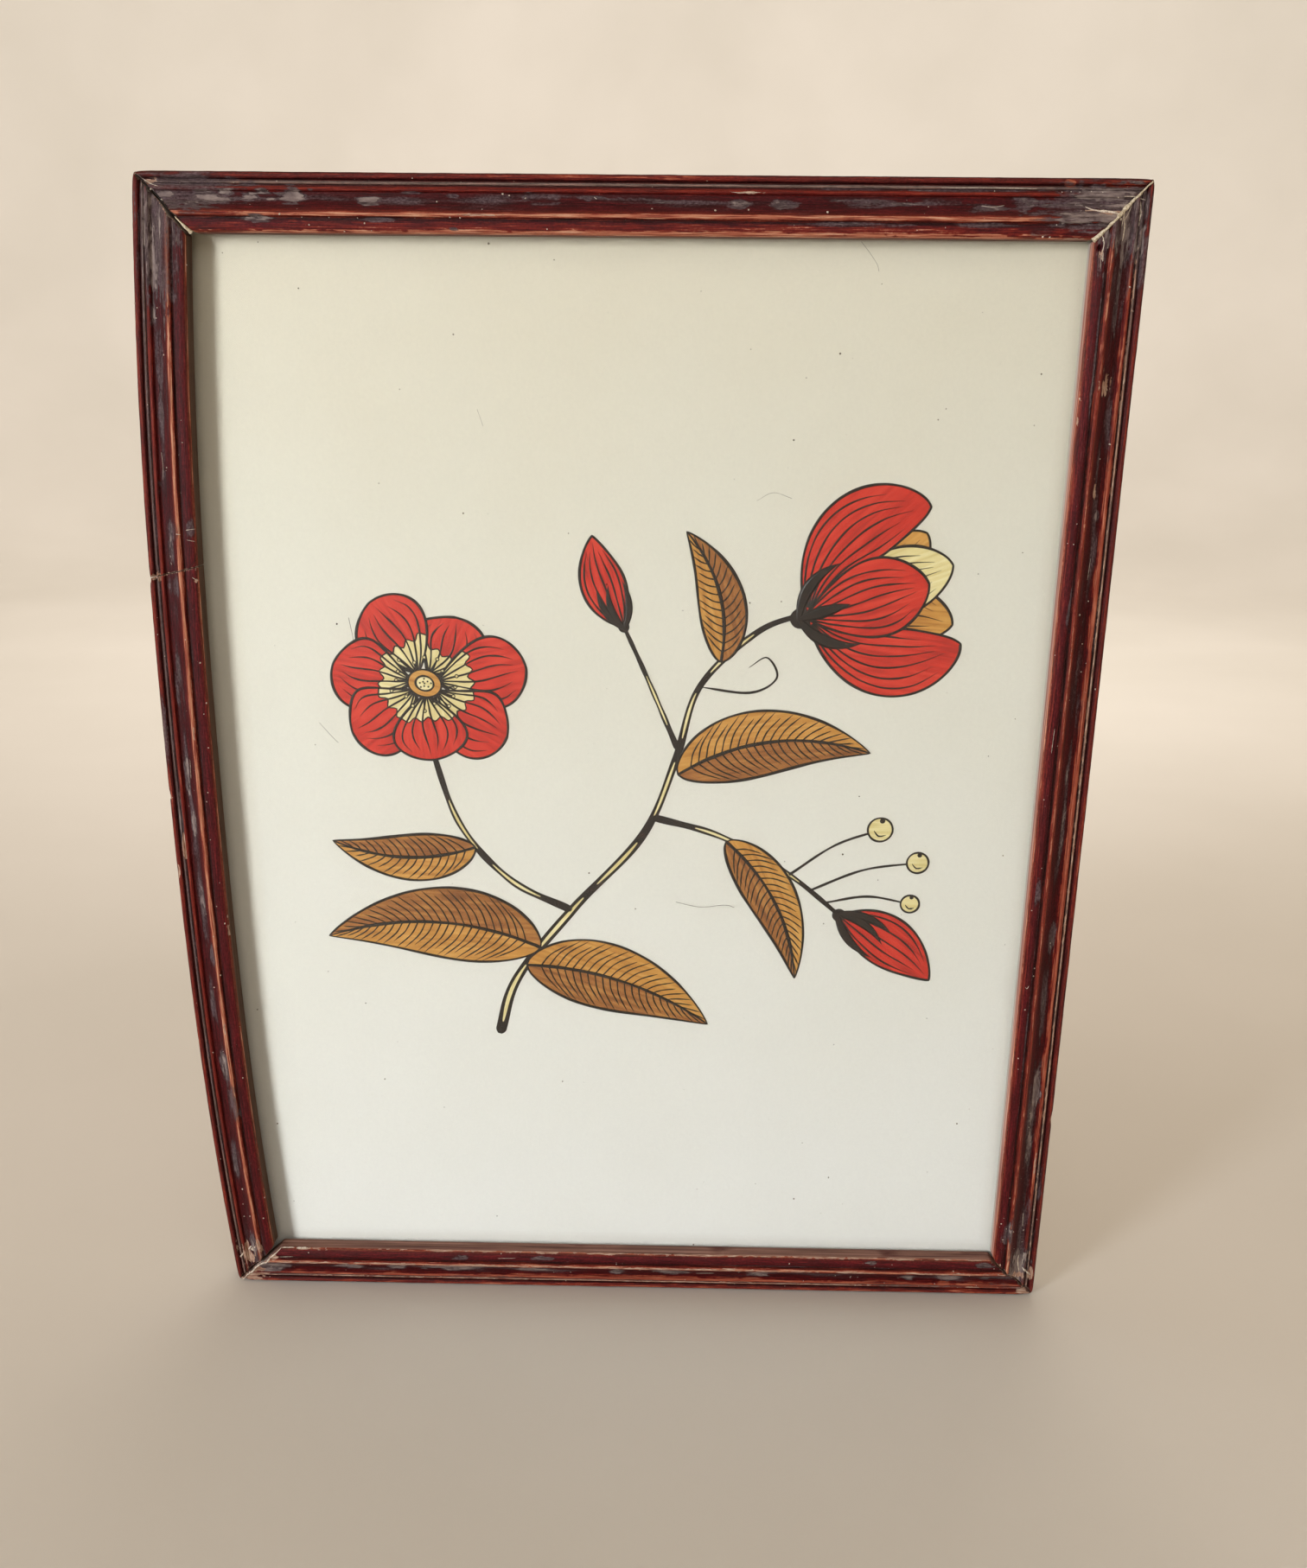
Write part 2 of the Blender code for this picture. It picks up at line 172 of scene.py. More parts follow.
def makeRubbedLacquer():
    # Oil lacquer brushed over a copper-coloured ground coat on softwood. It stays dark red and a little
    # glossy in the hollows, is rubbed back to the copper on the ridges, and holds grey dust and limewash.
    material, tree, shader = newMaterial("rubbedOxbloodLacquer")
    measures = {}
    for name in ("across", "rubbed", "bare", "dust"):
        measures[name] = addNode(tree, "ShaderNodeAttribute", attribute_name=name).outputs["Fac"]
    run = addNode(tree, "ShaderNodeUVMap", uv_map="run").outputs["UV"]
    grain = {}
    for name, (length, width) in grainSizes.items():
        place = addNode(
            tree, "ShaderNodeMapping", {"Vector": run, "Scale": (1000 / length, 1000 / width, 1)}
        ).outputs[0]
        grain[name] = addNode(
            tree, "ShaderNodeTexNoise", {"Vector": place, "Scale": 1, "Detail": 4, "Roughness": 0.6}
        ).outputs["Fac"]

    # colour by place across the moulding, then lighter and darker along the brush streaks
    shifted = addNode(
        tree, "ShaderNodeMath", {0: grain["blotch"], 1: 0.25, 2: measures["across"]},
        operation="MULTIPLY_ADD",
    ).outputs[0]
    share = addNode(
        tree, "ShaderNodeMapRange", {"Value": shifted, "From Min": 0.125, "From Max": 20.625}
    ).outputs["Result"]
    lacquer = addNode(
        tree, "ShaderNodeValToRGB", {"Fac": share},
        stops=[(place / 20.5, colour) for place, colour in lacquerBands],
    ).outputs["Color"]
    toned = lacquer
    for noise, darkest, lightest in (("streak", 0.5, 1.3), ("hair", 0.66, 1.26), ("flake", 0.7, 1.24)):
        tone = addNode(
            tree, "ShaderNodeMapRange",
            {
                "Value": grain[noise], "From Min": 0.38, "From Max": 0.62, "To Min": darkest,
                "To Max": lightest,
            },
        ).outputs["Result"]
        toned = addNode(
            tree, "ShaderNodeVectorMath", {0: toned, "Scale": tone}, operation="SCALE"
        ).outputs["Vector"]

    # rubbed lacquer turns a thin bright red, then the copper ground coat shows, redder towards the outside
    thinned = addNode(
        tree, "ShaderNodeValToRGB", {"Fac": grain["streak"]},
        stops=((0.36, "5A1412"), (0.5, "7A2018"), (0.64, "963A24")),
    ).outputs["Color"]
    noises = ((grain["streak"], 0.8), (grain["flake"], 0.4), (grain["hair"], 0.4))
    thinMask = brokenMask(tree, measures["rubbed"], noises, (0.84, 1.34, 0.9))
    thin = addNode(tree, "ShaderNodeMix", {0: thinMask, 6: toned, 7: thinned}, data_type="RGBA").outputs[2]
    copper = addNode(
        tree, "ShaderNodeValToRGB", {"Fac": grain["streak"]},
        stops=((0.36, "7C362A"), (0.46, "AC5E48"), (0.55, "C48264"), (0.66, "DCAC90")),
    ).outputs["Color"]
    outer = addNode(
        tree, "ShaderNodeMapRange",
        {"Value": measures["across"], "From Min": 10.0, "From Max": 8.0, "To Max": 0.8},
    ).outputs["Result"]
    reddened = addNode(
        tree, "ShaderNodeMix", {0: outer, 6: copper, 7: linear("D8A090")}, data_type="RGBA",
        blend_type="MULTIPLY",
    ).outputs[2]
    rubMask = brokenMask(tree, measures["rubbed"], noises, (1.2, 1.48, 1.0))
    colour = addNode(tree, "ShaderNodeMix", {0: rubMask, 6: thin, 7: reddened}, data_type="RGBA").outputs[2]

    # dust wiped along the hollow, crusts of limewash, and chips down to the wood
    masks = {}
    for name, (start, mixture, span, shade, stops) in wornCoats.items():
        noises = [(grain[noise], amount) for noise, amount in mixture.items()]
        masks[name] = brokenMask(tree, measures[start], noises, span)
        coat = addNode(tree, "ShaderNodeValToRGB", {"Fac": grain[shade]}, stops=stops).outputs["Color"]
        colour = addNode(
            tree, "ShaderNodeMix", {0: masks[name], 6: colour, 7: coat}, data_type="RGBA"
        ).outputs[2]

    # small splashes of limewash, well under a millimetre each
    speckPlace = addNode(tree, "ShaderNodeMapping", {"Vector": run, "Scale": (260, 340, 1)}).outputs[0]
    cells = addNode(tree, "ShaderNodeTexVoronoi", {"Vector": speckPlace, "Scale": 1})
    pick = addNode(tree, "ShaderNodeSeparateColor", {"Color": cells.outputs["Color"]}).outputs["Red"]
    size = addNode(
        tree, "ShaderNodeMapRange", {"Value": pick, "From Min": 0.8, "From Max": 1.0, "To Max": 0.09}
    ).outputs["Result"]
    speckMask = addNode(
        tree, "ShaderNodeMath", {0: cells.outputs["Distance"], 1: size}, operation="LESS_THAN"
    ).outputs[0]
    colour = addNode(
        tree, "ShaderNodeMix", {0: speckMask, 6: colour, 7: linear("CCBEAC")}, data_type="RGBA"
    ).outputs[2]
    tree.links.new(colour, shader.inputs["Base Color"])

    rough = addNode(
        tree, "ShaderNodeMapRange",
        {"Value": grain["streak"], "From Min": 0.3, "From Max": 0.7, "To Min": 0.36, "To Max": 0.5},
    ).outputs["Result"]
    masks["rub"] = rubMask
    for name, dullness in (("rub", 0.55), ("soot", 0.6), ("grime", 0.75), ("crust", 0.85), ("wood", 0.85)):
        rough = addNode(tree, "ShaderNodeMix", {0: masks[name], 2: rough, 3: dullness}).outputs[0]
    tree.links.new(rough, shader.inputs["Roughness"])
    shader.inputs["Specular IOR Level"].default_value = 0.2

    relief = grain["hair"]
    heights = ((grain["flake"], 0.7), (masks["grime"], 0.35), (masks["wood"], -0.6), (masks["rub"], -0.2))
    for source, height in heights:
        relief = addNode(
            tree, "ShaderNodeMath", {0: source, 1: height, 2: relief}, operation="MULTIPLY_ADD"
        ).outputs[0]
    bump = addNode(tree, "ShaderNodeBump", {"Strength": 0.7, "Distance": 0.00035, "Height": relief})
    tree.links.new(bump.outputs["Normal"], shader.inputs["Normal"])
    return material


def makeRawRailWood():
    # Planed softwood left bare inside and behind the moulding, pinkish brown with age, grain lengthwise
    material, tree, shader = newMaterial("greyedSoftwood")
    run = addNode(tree, "ShaderNodeUVMap", uv_map="run").outputs["UV"]
    across = addNode(tree, "ShaderNodeAttribute", attribute_name="across").outputs["Fac"]
    grainPlace = addNode(tree, "ShaderNodeMapping", {"Vector": run, "Scale": (16, 620, 1)}).outputs[0]
    grain = addNode(
        tree, "ShaderNodeTexNoise", {"Vector": grainPlace, "Scale": 1, "Detail": 6, "Distortion": 0.4}
    ).outputs["Fac"]
    stainPlace = addNode(tree, "ShaderNodeMapping", {"Vector": run, "Scale": (40, 120, 1)}).outputs[0]
    stain = addNode(
        tree, "ShaderNodeTexNoise", {"Vector": stainPlace, "Scale": 1, "Detail": 4}
    ).outputs["Fac"]
    wood = addNode(
        tree, "ShaderNodeValToRGB", {"Fac": grain},
        stops=((0.32, "5A3A32"), (0.45, "80584C"), (0.56, "946C5C"), (0.7, "AC8474")),
    ).outputs["Color"]
    # lacquer that ran over the edge
    nearEdge = addNode(
        tree, "ShaderNodeMapRange", {"Value": across, "From Min": 20.1, "From Max": 20.6, "To Max": 0.5}
    ).outputs["Result"]
    runs = addNode(tree, "ShaderNodeMath", {0: stain, 1: nearEdge}, operation="ADD").outputs[0]
    runMask = addNode(
        tree, "ShaderNodeMapRange", {"Value": runs, "From Min": 0.98, "From Max": 1.12}
    ).outputs["Result"]
    colour = addNode(
        tree, "ShaderNodeMix", {0: runMask, 6: wood, 7: linear("4A1512")}, data_type="RGBA"
    ).outputs[2]
    shade = addNode(
        tree, "ShaderNodeMapRange", {"Value": stain, "From Min": 0.3, "From Max": 0.7, "To Min": 0.72}
    ).outputs["Result"]
    shaded = addNode(
        tree, "ShaderNodeVectorMath", {0: colour, "Scale": shade}, operation="SCALE"
    ).outputs["Vector"]
    # painted shade: the inner wall that faces away from the light is darkened to a dull olive brown
    paintedWallShade = addNode(tree, "ShaderNodeAttribute", attribute_name="paintedWallShade").outputs["Fac"]
    wallShaded = addNode(
        tree, "ShaderNodeMix", {0: paintedWallShade, 6: shaded, 7: linear("4A3A28")}, data_type="RGBA"
    ).outputs[2]
    # on the rail whose inner wall faces the light, the wall is painted copper with a pale limewash foot:
    # partly a copper coat and limewash, partly a painted highlight
    litWallCoat = addNode(tree, "ShaderNodeAttribute", attribute_name="rubbed").outputs["Fac"]
    coatMask = brokenMask(tree, litWallCoat, ((stain, 1.0),), (0.9, 1.3, 0.9))
    copper = addNode(
        tree, "ShaderNodeValToRGB", {"Fac": grain},
        stops=((0.34, "8A5246"), (0.5, "AE7464"), (0.64, "CCA090")),
    ).outputs["Color"]
    coppered = addNode(
        tree, "ShaderNodeMix", {0: coatMask, 6: wallShaded, 7: copper}, data_type="RGBA"
    ).outputs[2]
    limewash = addNode(tree, "ShaderNodeAttribute", attribute_name="dust").outputs["Fac"]
    colour = addNode(
        tree, "ShaderNodeMix", {0: limewash, 6: coppered, 7: linear("C2BAB0")}, data_type="RGBA"
    ).outputs[2]
    tree.links.new(colour, shader.inputs["Base Color"])
    shader.inputs["Roughness"].default_value = 0.85
    bump = addNode(tree, "ShaderNodeBump", {"Strength": 0.5, "Distance": 0.0003, "Height": grain})
    tree.links.new(bump.outputs["Normal"], shader.inputs["Normal"])
    return material


def makeFlecked(name, scale, detail, tints, roughness):
    # a plain finish whose tints follow one noise
    material, tree, shader = newMaterial(name)
    place = addNode(tree, "ShaderNodeTexCoord").outputs["Object"]
    fleck = addNode(
        tree, "ShaderNodeTexNoise", {"Vector": place, "Scale": scale, "Detail": detail}
    ).outputs["Fac"]
    colour = addNode(tree, "ShaderNodeValToRGB", {"Fac": fleck}, stops=tints).outputs["Color"]
    tree.links.new(colour, shader.inputs["Base Color"])
    shader.inputs["Roughness"].default_value = roughness
    return material


rubbedLacquer = makeRubbedLacquer()
rawRailWood = makeRawRailWood()


# the five rails

moulding = {  # mm; across from the outer edge, rise from the back
    "outerSide": 9.8,
    "bead": (1.25, 9.8, 1.25),
    "fillet": (3.65, 10.3, 0.55),
    "filletFoot": 10.25,
    "outerRidge": (5.7, 11.1, 0.9),
    "hollow": (6.7, 10.8, 13.0, 15.0, 1.8),
    "mainRidge": (14.1, 14.9, 1.1),
    "quirk": (15.35, 15.75, 14.7),
    "sightBand": (15.9, 19.9, 14.9, 0.45),
    "arris": (20.5, 13.7),
    "rebate": (10.5, 8.0),
    "faceStep": 0.34,
    "stationStep": 1.0,
    "inset": 0.02,  # keeps the finished face just inside the solid
}

bowing = {"reach": 9.2, "power": 2.4, "peak": 225.0}  # mm; the left rail has sprung outwards
crack = {"drop": 142.8, "slope": -0.25, "half": 0.15}
mitreOpening = {"topLeft": 0.4, "topRight": 0.3, "bottomRight": 0.6, "bottomLeft": 0.5}

# Where the wear is, in mm: along the rail, across it, half length, half width, and how much, which is the
# depth for bare wood and the nail hole. The top and bottom rails run from the left, the side ones downwards.
# a few long strips below are painted highlight and painted shade, marked where they stand
wearAndPaintedLight = {
    "top": {
        "dust": (
            (18, 6.5, 23, 7, 0.5), (12, 7.7, 3.2, 1.2, 0.5), (25, 7.5, 4, 1.3, 0.5), (33, 6.9, 3, 1, 0.5),
            (41, 7.9, 3.4, 1.2, 0.6), (45.5, 6.6, 2.2, 1.0, 0.8), (48.5, 9.2, 1.3, 0.5, 0.6),
            (56, 7.9, 5.2, 2.9, 0.8), (62.5, 6, 1.4, 0.6, 0.6), (83, 9.7, 4.6, 1.8, 0.75),
            (44, 16, 6, 1.6, 0.75), (87, 16, 6.5, 0.9, 0.45), (98, 6.8, 5.2, 0.5, 0.5),
            (112.5, 7.4, 2.2, 0.9, 0.5), (113, 18.8, 1.4, 0.5, 0.8), (144, 8.3, 7.5, 2.4, 0.42),
            (161, 8, 5.5, 0.8, 0.42), (178, 8.8, 20, 0.9, 0.34), (213, 9.6, 3.6, 2.4, 0.5),
            (229, 9.6, 5.2, 2.1, 0.5), (258, 9, 17, 1.2, 0.4), (252, 16.4, 23, 0.8, 0.4),
            (282, 8.5, 9, 1.5, 0.4), (299, 10, 8, 1.6, 0.42), (300, 16.2, 12, 0.9, 0.4),
            (312, 8.5, 5, 3, 0.4), (337, 10, 24, 8.5, 0.5), (352, 6, 12, 4.5, 0.3), (338, 5, 9, 2.5, 0.35),
            (334, 13.5, 14, 2.2, 0.35), (318, 18, 5, 1.8, 0.35), (255, 4.4, 22, 0.7, 0.3),
            (292, 4.6, 24, 0.7, 0.3),
        ),
        "rub": (
            (183, 18.4, 176, 2.2, 0.3), (327.5, 2.0, 1.9, 1.3, 0.9), (183, 19.9, 175, 1.0, 0.42),
            (158, 1.2, 34, 1.0, 0.3), (202, 1.4, 14, 1.0, 0.3), (346, 2.0, 10, 1.4, 0.4),
            (183, 14.2, 180, 1.0, 0.1), (30, 14, 14, 1.2, -0.3), (240, 19, 60, 1.8, 0.1),
        ),
        "bare": (
            (215, 5.9, 5.2, 0.35, 0.06), (336.5, 10.5, 2.6, 0.5, 0.06), (342, 11.4, 3.2, 0.8, 0.08),
            (330, 20.4, 3.6, 0.4, 0.15), (120, 14.2, 7, 0.4, 0.05), (6, 3.2, 2.6, 0.8, 0.2),
            (349, 20.2, 2.0, 0.6, 0.3),
        ),
    },
    "bottom": {
        "dust": (
            (14, 9, 10, 5, 0.34), (51.5, 10.4, 5.6, 2.9, 0.9), (72, 10.6, 5, 3.0, 1.1),
            (97, 10.6, 15, 2.8, 0.95), (101.5, 17.6, 4.6, 1.3, 0.65), (138, 18, 6, 1.1, 0.6),
            (134, 10, 9, 2.2, 0.8), (170.5, 9.8, 3.4, 2.3, 0.85), (196, 10, 8.4, 2.4, 0.85),
            (234, 9.6, 6, 2.2, 0.85), (236, 15.8, 20, 0.35, 0.5), (283, 18.8, 2.8, 1, 0.7),
            (300.5, 9.2, 3, 2.1, 0.85), (318, 10, 5.6, 2.6, 0.8), (333.5, 18.6, 4, 1.4, 0.7),
            (334.5, 9, 2, 1.7, 0.5), (346, 11, 9, 7, 0.3), (110, 5.2, 20, 1.0, 0.3),
            (262, 9.4, 9, 1.2, 0.4), (17, 9, 7, 3, 0.5),
        ),
        "rub": (
            (333, 3, 19, 3, 0.3), (183, 1.0, 178, 1.2, 0.34), (183, 5.6, 178, 1.2, 0.52),
            (183, 3.6, 176, 0.5, 0.5), (16, 1.2, 15, 1.3, 0.2), (183, 20.4, 170, 0.5, 0.25),
            (333, 6, 21, 1.6, 0.25),
        ),
        "bare": (
            (7, 4.2, 4.5, 3.6, 0.2), (1.6, 1.4, 2.4, 1.4, 0.5), (17, 15.6, 4, 1.2, 0.1),
            (30.5, 20.3, 2.2, 0.5, 0.25), (353, 3, 2.6, 2.4, 0.35), (345, 14, 2.0, 0.6, 0.1),
            # painted highlight: three long pale strips along the ridges that face up into the light
            (183, 14.1, 176, 0.42, 0.02), (183, 20.45, 172, 0.36, 0.02), (183, 3.65, 176, 0.3, 0.02),
            (221, 14.4, 4.0, 0.4, 0.06),
        ),
    },
    "right": {
        "dust": (
            (34, 9.6, 20, 3.6, 0.36), (36, 9.4, 17, 0.6, 0.45), (25, 3, 10, 3.2, 0.42), (12, 9, 15, 9, 0.6),
            (24, 17.6, 9, 2.2, 0.45), (89, 8.5, 15, 2.6, 0.3), (115, 8.4, 2, 1, 0.6),
            (150, 16.4, 7, 0.6, 0.5), (216, 9.8, 4, 0.8, 0.5), (264, 17.2, 6, 1.3, 0.5),
            (285, 8.8, 8.5, 1.9, 0.5), (355, 8.3, 8.5, 1.9, 0.5), (401, 2.8, 11, 1.6, 0.4),
            (428, 9, 20, 7, 0.34), (364, 9.2, 22, 2.8, 0.36), (444, 8, 10, 6, 0.5), (446, 10, 5, 4, 0.5),
            (424, 16, 6, 2.6, 0.4), (175, 8.6, 24, 1.6, 0.26), (240, 9.2, 14, 1.2, 0.34),
            (318, 8.8, 14, 1.4, 0.32), (150, 4.2, 30, 0.8, 0.3), (60, 16.2, 26, 0.5, 0.5),
            (330, 16.2, 40, 0.4, 0.3), (384, 9, 8, 1.6, 0.36),
        ),
        "rub": (
            (225, 19.3, 216, 0.9, 0.26), (246, 1.2, 30, 1.0, 0.2), (225, 5.75, 216, 1.4, 0.5),
            # the last keeps the main ridge darker along the whole rail: painted shade where it is lit less
            (225, 1.2, 218, 1.2, 0.1), (225, 14.2, 214, 1.4, -0.26),
        ),
        "bare": (
            (69, 10.9, 3.6, 2.5, 0.5), (107.2, 10.5, 3.9, 1.2, 0.4), (25.4, 17.8, 1.4, 0.6, 0.06),
            (74, 20.2, 1.8, 0.5, 0.2), (81.5, 20.3, 1.2, 0.4, 0.2), (370.5, 0.3, 3.4, 0.7, 0.3),
            # the first, pale along the whole fillet, is a painted highlight
            (225, 3.65, 216, 0.42, 0.02), (448, 8, 1.4, 3.0, 0.2), (440, 16.8, 1.6, 0.8, 0.12),
            (447.5, 2.4, 2.4, 1.6, 0.25), (392, 5.6, 5, 0.4, 0.05), (168, 14.3, 3.2, 0.4, 0.08),
        ),
        "hole": ((23, 18.6, 1.0, 1.0, 1.6),),
    },
    "left": {
        "dust": (
            (22, 10, 26, 9, 0.5), (20, 7, 24, 2.6, 0.3), (33.5, 3.6, 2.4, 0.8, 0.5), (62, 9, 11, 1.8, 0.3),
            (84, 8.6, 9, 1.4, 0.34), (107, 8.2, 5, 1.6, 0.4), (124.5, 11.5, 3.6, 3.4, 0.3),
            (123.5, 18.8, 3.8, 1.6, 0.5), (133, 9, 6, 2.4, 0.28), (146, 10, 4, 3, 0.3),
            (184, 9, 12.5, 2.3, 0.34), (205, 1.3, 17, 1.4, 0.5), (241, 4.0, 11, 1.4, 0.5),
            (241, 9.5, 5, 1.3, 0.46), (222, 8.6, 8, 1.4, 0.34), (280, 9.8, 14, 1.7, 0.42),
            (298, 12, 5.6, 1.5, 0.46), (349, 10.8, 8.6, 2.9, 0.62), (367, 13.4, 11, 2.2, 0.5),
            (396, 9.4, 10, 1.8, 0.36), (320, 9.4, 12, 1.4, 0.3), (437, 11, 6, 2.6, 0.46),
            (446, 10, 9, 7, 0.3), (225, 3.7, 222, 0.6, 0.42),
        ),
        "rub": (
            (46.5, 14.1, 1.2, 1.4, -0.6), (225, 14.0, 200, 1.2, 0.12), (225, 5.7, 200, 0.9, 0.08),
            (225, 1.1, 216, 1.0, 0.2),
        ),
        "bare": (
            (142.4, 2.0, 1.8, 2.0, 0.5), (143, 19.4, 0.6, 1.0, 0.2), (229.5, 0.7, 2.4, 0.8, 0.25),
            (250.5, 4.0, 5.2, 0.8, 0.1), (286.5, 20.3, 3.6, 0.4, 0.15), (444, 6.5, 5.0, 3.0, 0.2),
            (437, 13.6, 2.6, 1.4, 0.15), (262, 0.8, 1.8, 0.6, 0.2), (203, 14.2, 2.6, 0.4, 0.06),
            (331, 14.2, 3.6, 0.4, 0.06),
        ),
    },
}

# how much each ridge is rubbed, and where dust lies the whole way: across in mm, half width in mm, amount
rubbedRidges = (
    (1.0, 0.7, 0.22), (3.65, 0.35, 0.15), (5.75, 0.7, 0.38), (14.2, 1.0, 0.86), (20.45, 0.32, 0.84),
)
dustyGrooves = ((3.65, 0.45, 0.12), (4.5, 0.3, 0.2), (16.0, 0.4, 0.24))
dustyHollow = (9.4, 2.8)  # mm: the middle of the dust in the hollow, and how far it spreads
mitreWear = {  # mm: how deep handling rounds the mitres and the outer corners' tips, and how far it reaches
    "depth": 0.45,
    "ragged": 0.25,
    "reach": 0.45,
    "tipDepth": 0.6,
    "tipReach": 1.6,
    "crackShare": 0.3,  # the crack is newer, so its edges are still fairly sharp
}


def arcPoints(circle, start, end, steps):
    across, rise, radius = circle
    angles = np.radians(np.linspace(start, end, steps + 1))
    return [(across + radius * math.cos(a), rise + radius * math.sin(a)) for a in angles]


def mouldingStretches():
    # each stretch of the section with the largest gap between its points, all in mm
    m = moulding
    face = arcPoints(m["bead"], 180, 0, 12)
    face += [(2 * m["bead"][2] + 0.2, m["filletFoot"]), (m["fillet"][0] - m["fillet"][2], m["filletFoot"])]
    face += arcPoints(m["fillet"], 180, 0, 8)
    face += [(m["fillet"][0] + m["fillet"][2] + 0.15, m["filletFoot"] + 0.3)]
    face += arcPoints(m["outerRidge"], 210, -10, 11)
    startAcross, lowRise, endAcross, highRise, power = m["hollow"]
    for t in np.linspace(0, 1, 23):
        face.append(
            (startAcross + (endAcross - startAcross) * t, lowRise + (highRise - lowRise) * t ** power)
        )
    face += arcPoints(m["mainRidge"], 170, 0, 12)
    face += [(m["quirk"][0], m["quirk"][2]), (m["quirk"][1], m["quirk"][2])]
    bandStart, bandEnd, bandRise, crown = m["sightBand"]
    for t in np.linspace(0, 1, 15):
        face.append((bandStart + (bandEnd - bandStart) * t, bandRise + crown * (1 - (2 * t - 0.7) ** 2)))
    face.append(m["arris"])
    lipAcross, lipRise = m["arris"][0], m["rebate"][1]
    return (
        ("face", [(0, 0), (0, m["outerSide"])], 1.2),
        ("face", face, m["faceStep"]),
        ("raw", [m["arris"], (lipAcross, lipRise)], 1.0),
        ("raw", [(lipAcross, lipRise), m["rebate"]], 3.5),
        ("raw", [m["rebate"], (m["rebate"][0], 0)], 3.0),
        ("raw", [(m["rebate"][0], 0), (0, 0)], 3.5),
    )


def mouldingSection():
    points, kinds = [], []
    for kind, corners, gap in mouldingStretches():
        for (a, b), (c, d) in zip(corners, corners[1:]):
            count = max(1, math.ceil(math.hypot(c - a, d - b) / gap))
            for i in range(count):
                points.append((a + (c - a) * i / count, b + (d - b) * i / count))
                kinds.append(kind)
    points = np.array(points)
    keep = np.linalg.norm(points - np.roll(points, 1, axis=0), axis=1) > 0.01
    return points[keep], [kind for kind, kept in zip(kinds, keep) if kept]


def bow(drop):
    peak = bowing["peak"]
    reach = np.where(drop < peak, peak, frameHeight / mm - peak)
    offset = np.minimum(np.abs(drop - peak) / reach, 1.0)
    return bowing["reach"] * (1 - offset ** bowing["power"])


def stationsAlong(start, length, marks):
    # shares of the length, closer together at both ends and across each chip
    places = [np.arange(0, length, moulding["stationStep"]), np.array([0.12, 0.25, 0.4, 0.6, 0.8])]
    places.append(length - np.array([0.8, 0.6, 0.4, 0.25, 0.12, 0.0]))
    for kind, gap in (("bare", 0.4), ("hole", 0.25)):
        for along, across, halfLength, halfWidth, amount in marks.get(kind, ()):
            if halfLength < 6:
                reach = halfLength * 1.3
                places.append(np.arange(along - start - reach, along - start + reach, gap))
    places = np.unique(np.round(np.concatenate(places), 2))
    places = places[(places >= 0) & (places <= length)]
    gaps = np.append(np.diff(places), 1.0)
    return places[gaps > 0.09] / length


def wearAt(marks, along, across, seed):
    # how rubbed, bare and dusty each point is, how deep in a nail hole, and how far it is worn away in mm
    ragged = 0.22 * drift(along / 1.6, across / 0.7, seed) + 0.3 * drift(along / 7, across / 0.6, seed + 1)
    rubbed = np.zeros_like(along)
    ridges = np.zeros_like(along)
    for k, (centre, width, amount) in enumerate(rubbedRidges):
        handled = 0.84 + 0.2 * drift(along / 26, across * 0 + 7.5 * k, seed + 2)
        handled = handled + 0.16 * drift(along / 5, across * 0 + 5.5 * k, seed + 9)
        ridge = np.exp(-(((across - centre) / width) ** 2))
        ridges = np.maximum(ridges, ridge)
        rubbed = np.maximum(rubbed, amount * handled * ridge)
    hollow = np.exp(-(((across - dustyHollow[0]) / dustyHollow[1]) ** 2))
    dust = hollow * (0.12 + 0.4 * drift(along / 16, across / 1.5, seed + 3)) + 0.04
    dust = dust + 0.12 * drift(along / 9, across / 2.5, seed + 10)
    for centre, width, amount in dustyGrooves:
        kept = 0.85 + 0.3 * drift(along / 12, across * 0 + 3.5 * centre, seed + 5)
        dust += amount * kept * np.exp(-(((across - centre) / width) ** 2))
    bare = np.zeros_like(along)
    hole = np.zeros_like(along)
    depth = moulding["inset"] + 0.03 * (1 + drift(along / 3, across / 2, seed + 4))
    depth = depth + 0.04 * (1 + drift(along / 11, across / 6, seed + 7))
    depth = depth + 0.16 * ridges * ease(0.45, 0.95, drift(along / 1.5, across / 0.9, seed + 6))
    marked = [(kind, spot) for kind, spots in marks.items() for spot in spots]
    for kind, (centre, middle, halfLength, halfWidth, amount) in marked:
        apart = np.hypot((along - centre) / halfLength, (across - middle) / halfWidth)
        mask = 1 - ease(0.7, 1.15, apart + ragged)
        if kind == "dust":
            dust = dust + amount * mask
        elif kind == "rub":
            rubbed = rubbed + amount * mask
        elif kind == "bare":
            chip = 1 - ease(0.35, 1.5, apart + 2.4 * ragged)
            bare = np.maximum(bare, chip)
            depth = depth + amount * chip
        else:
            hole = 1 - ease(0.6, 1.0, apart)
            depth = depth + amount * hole
    return np.clip(rubbed, 0, 1.2), bare * (1 - hole), np.clip(dust, -0.5, 1.1) * (1 - hole), hole, depth


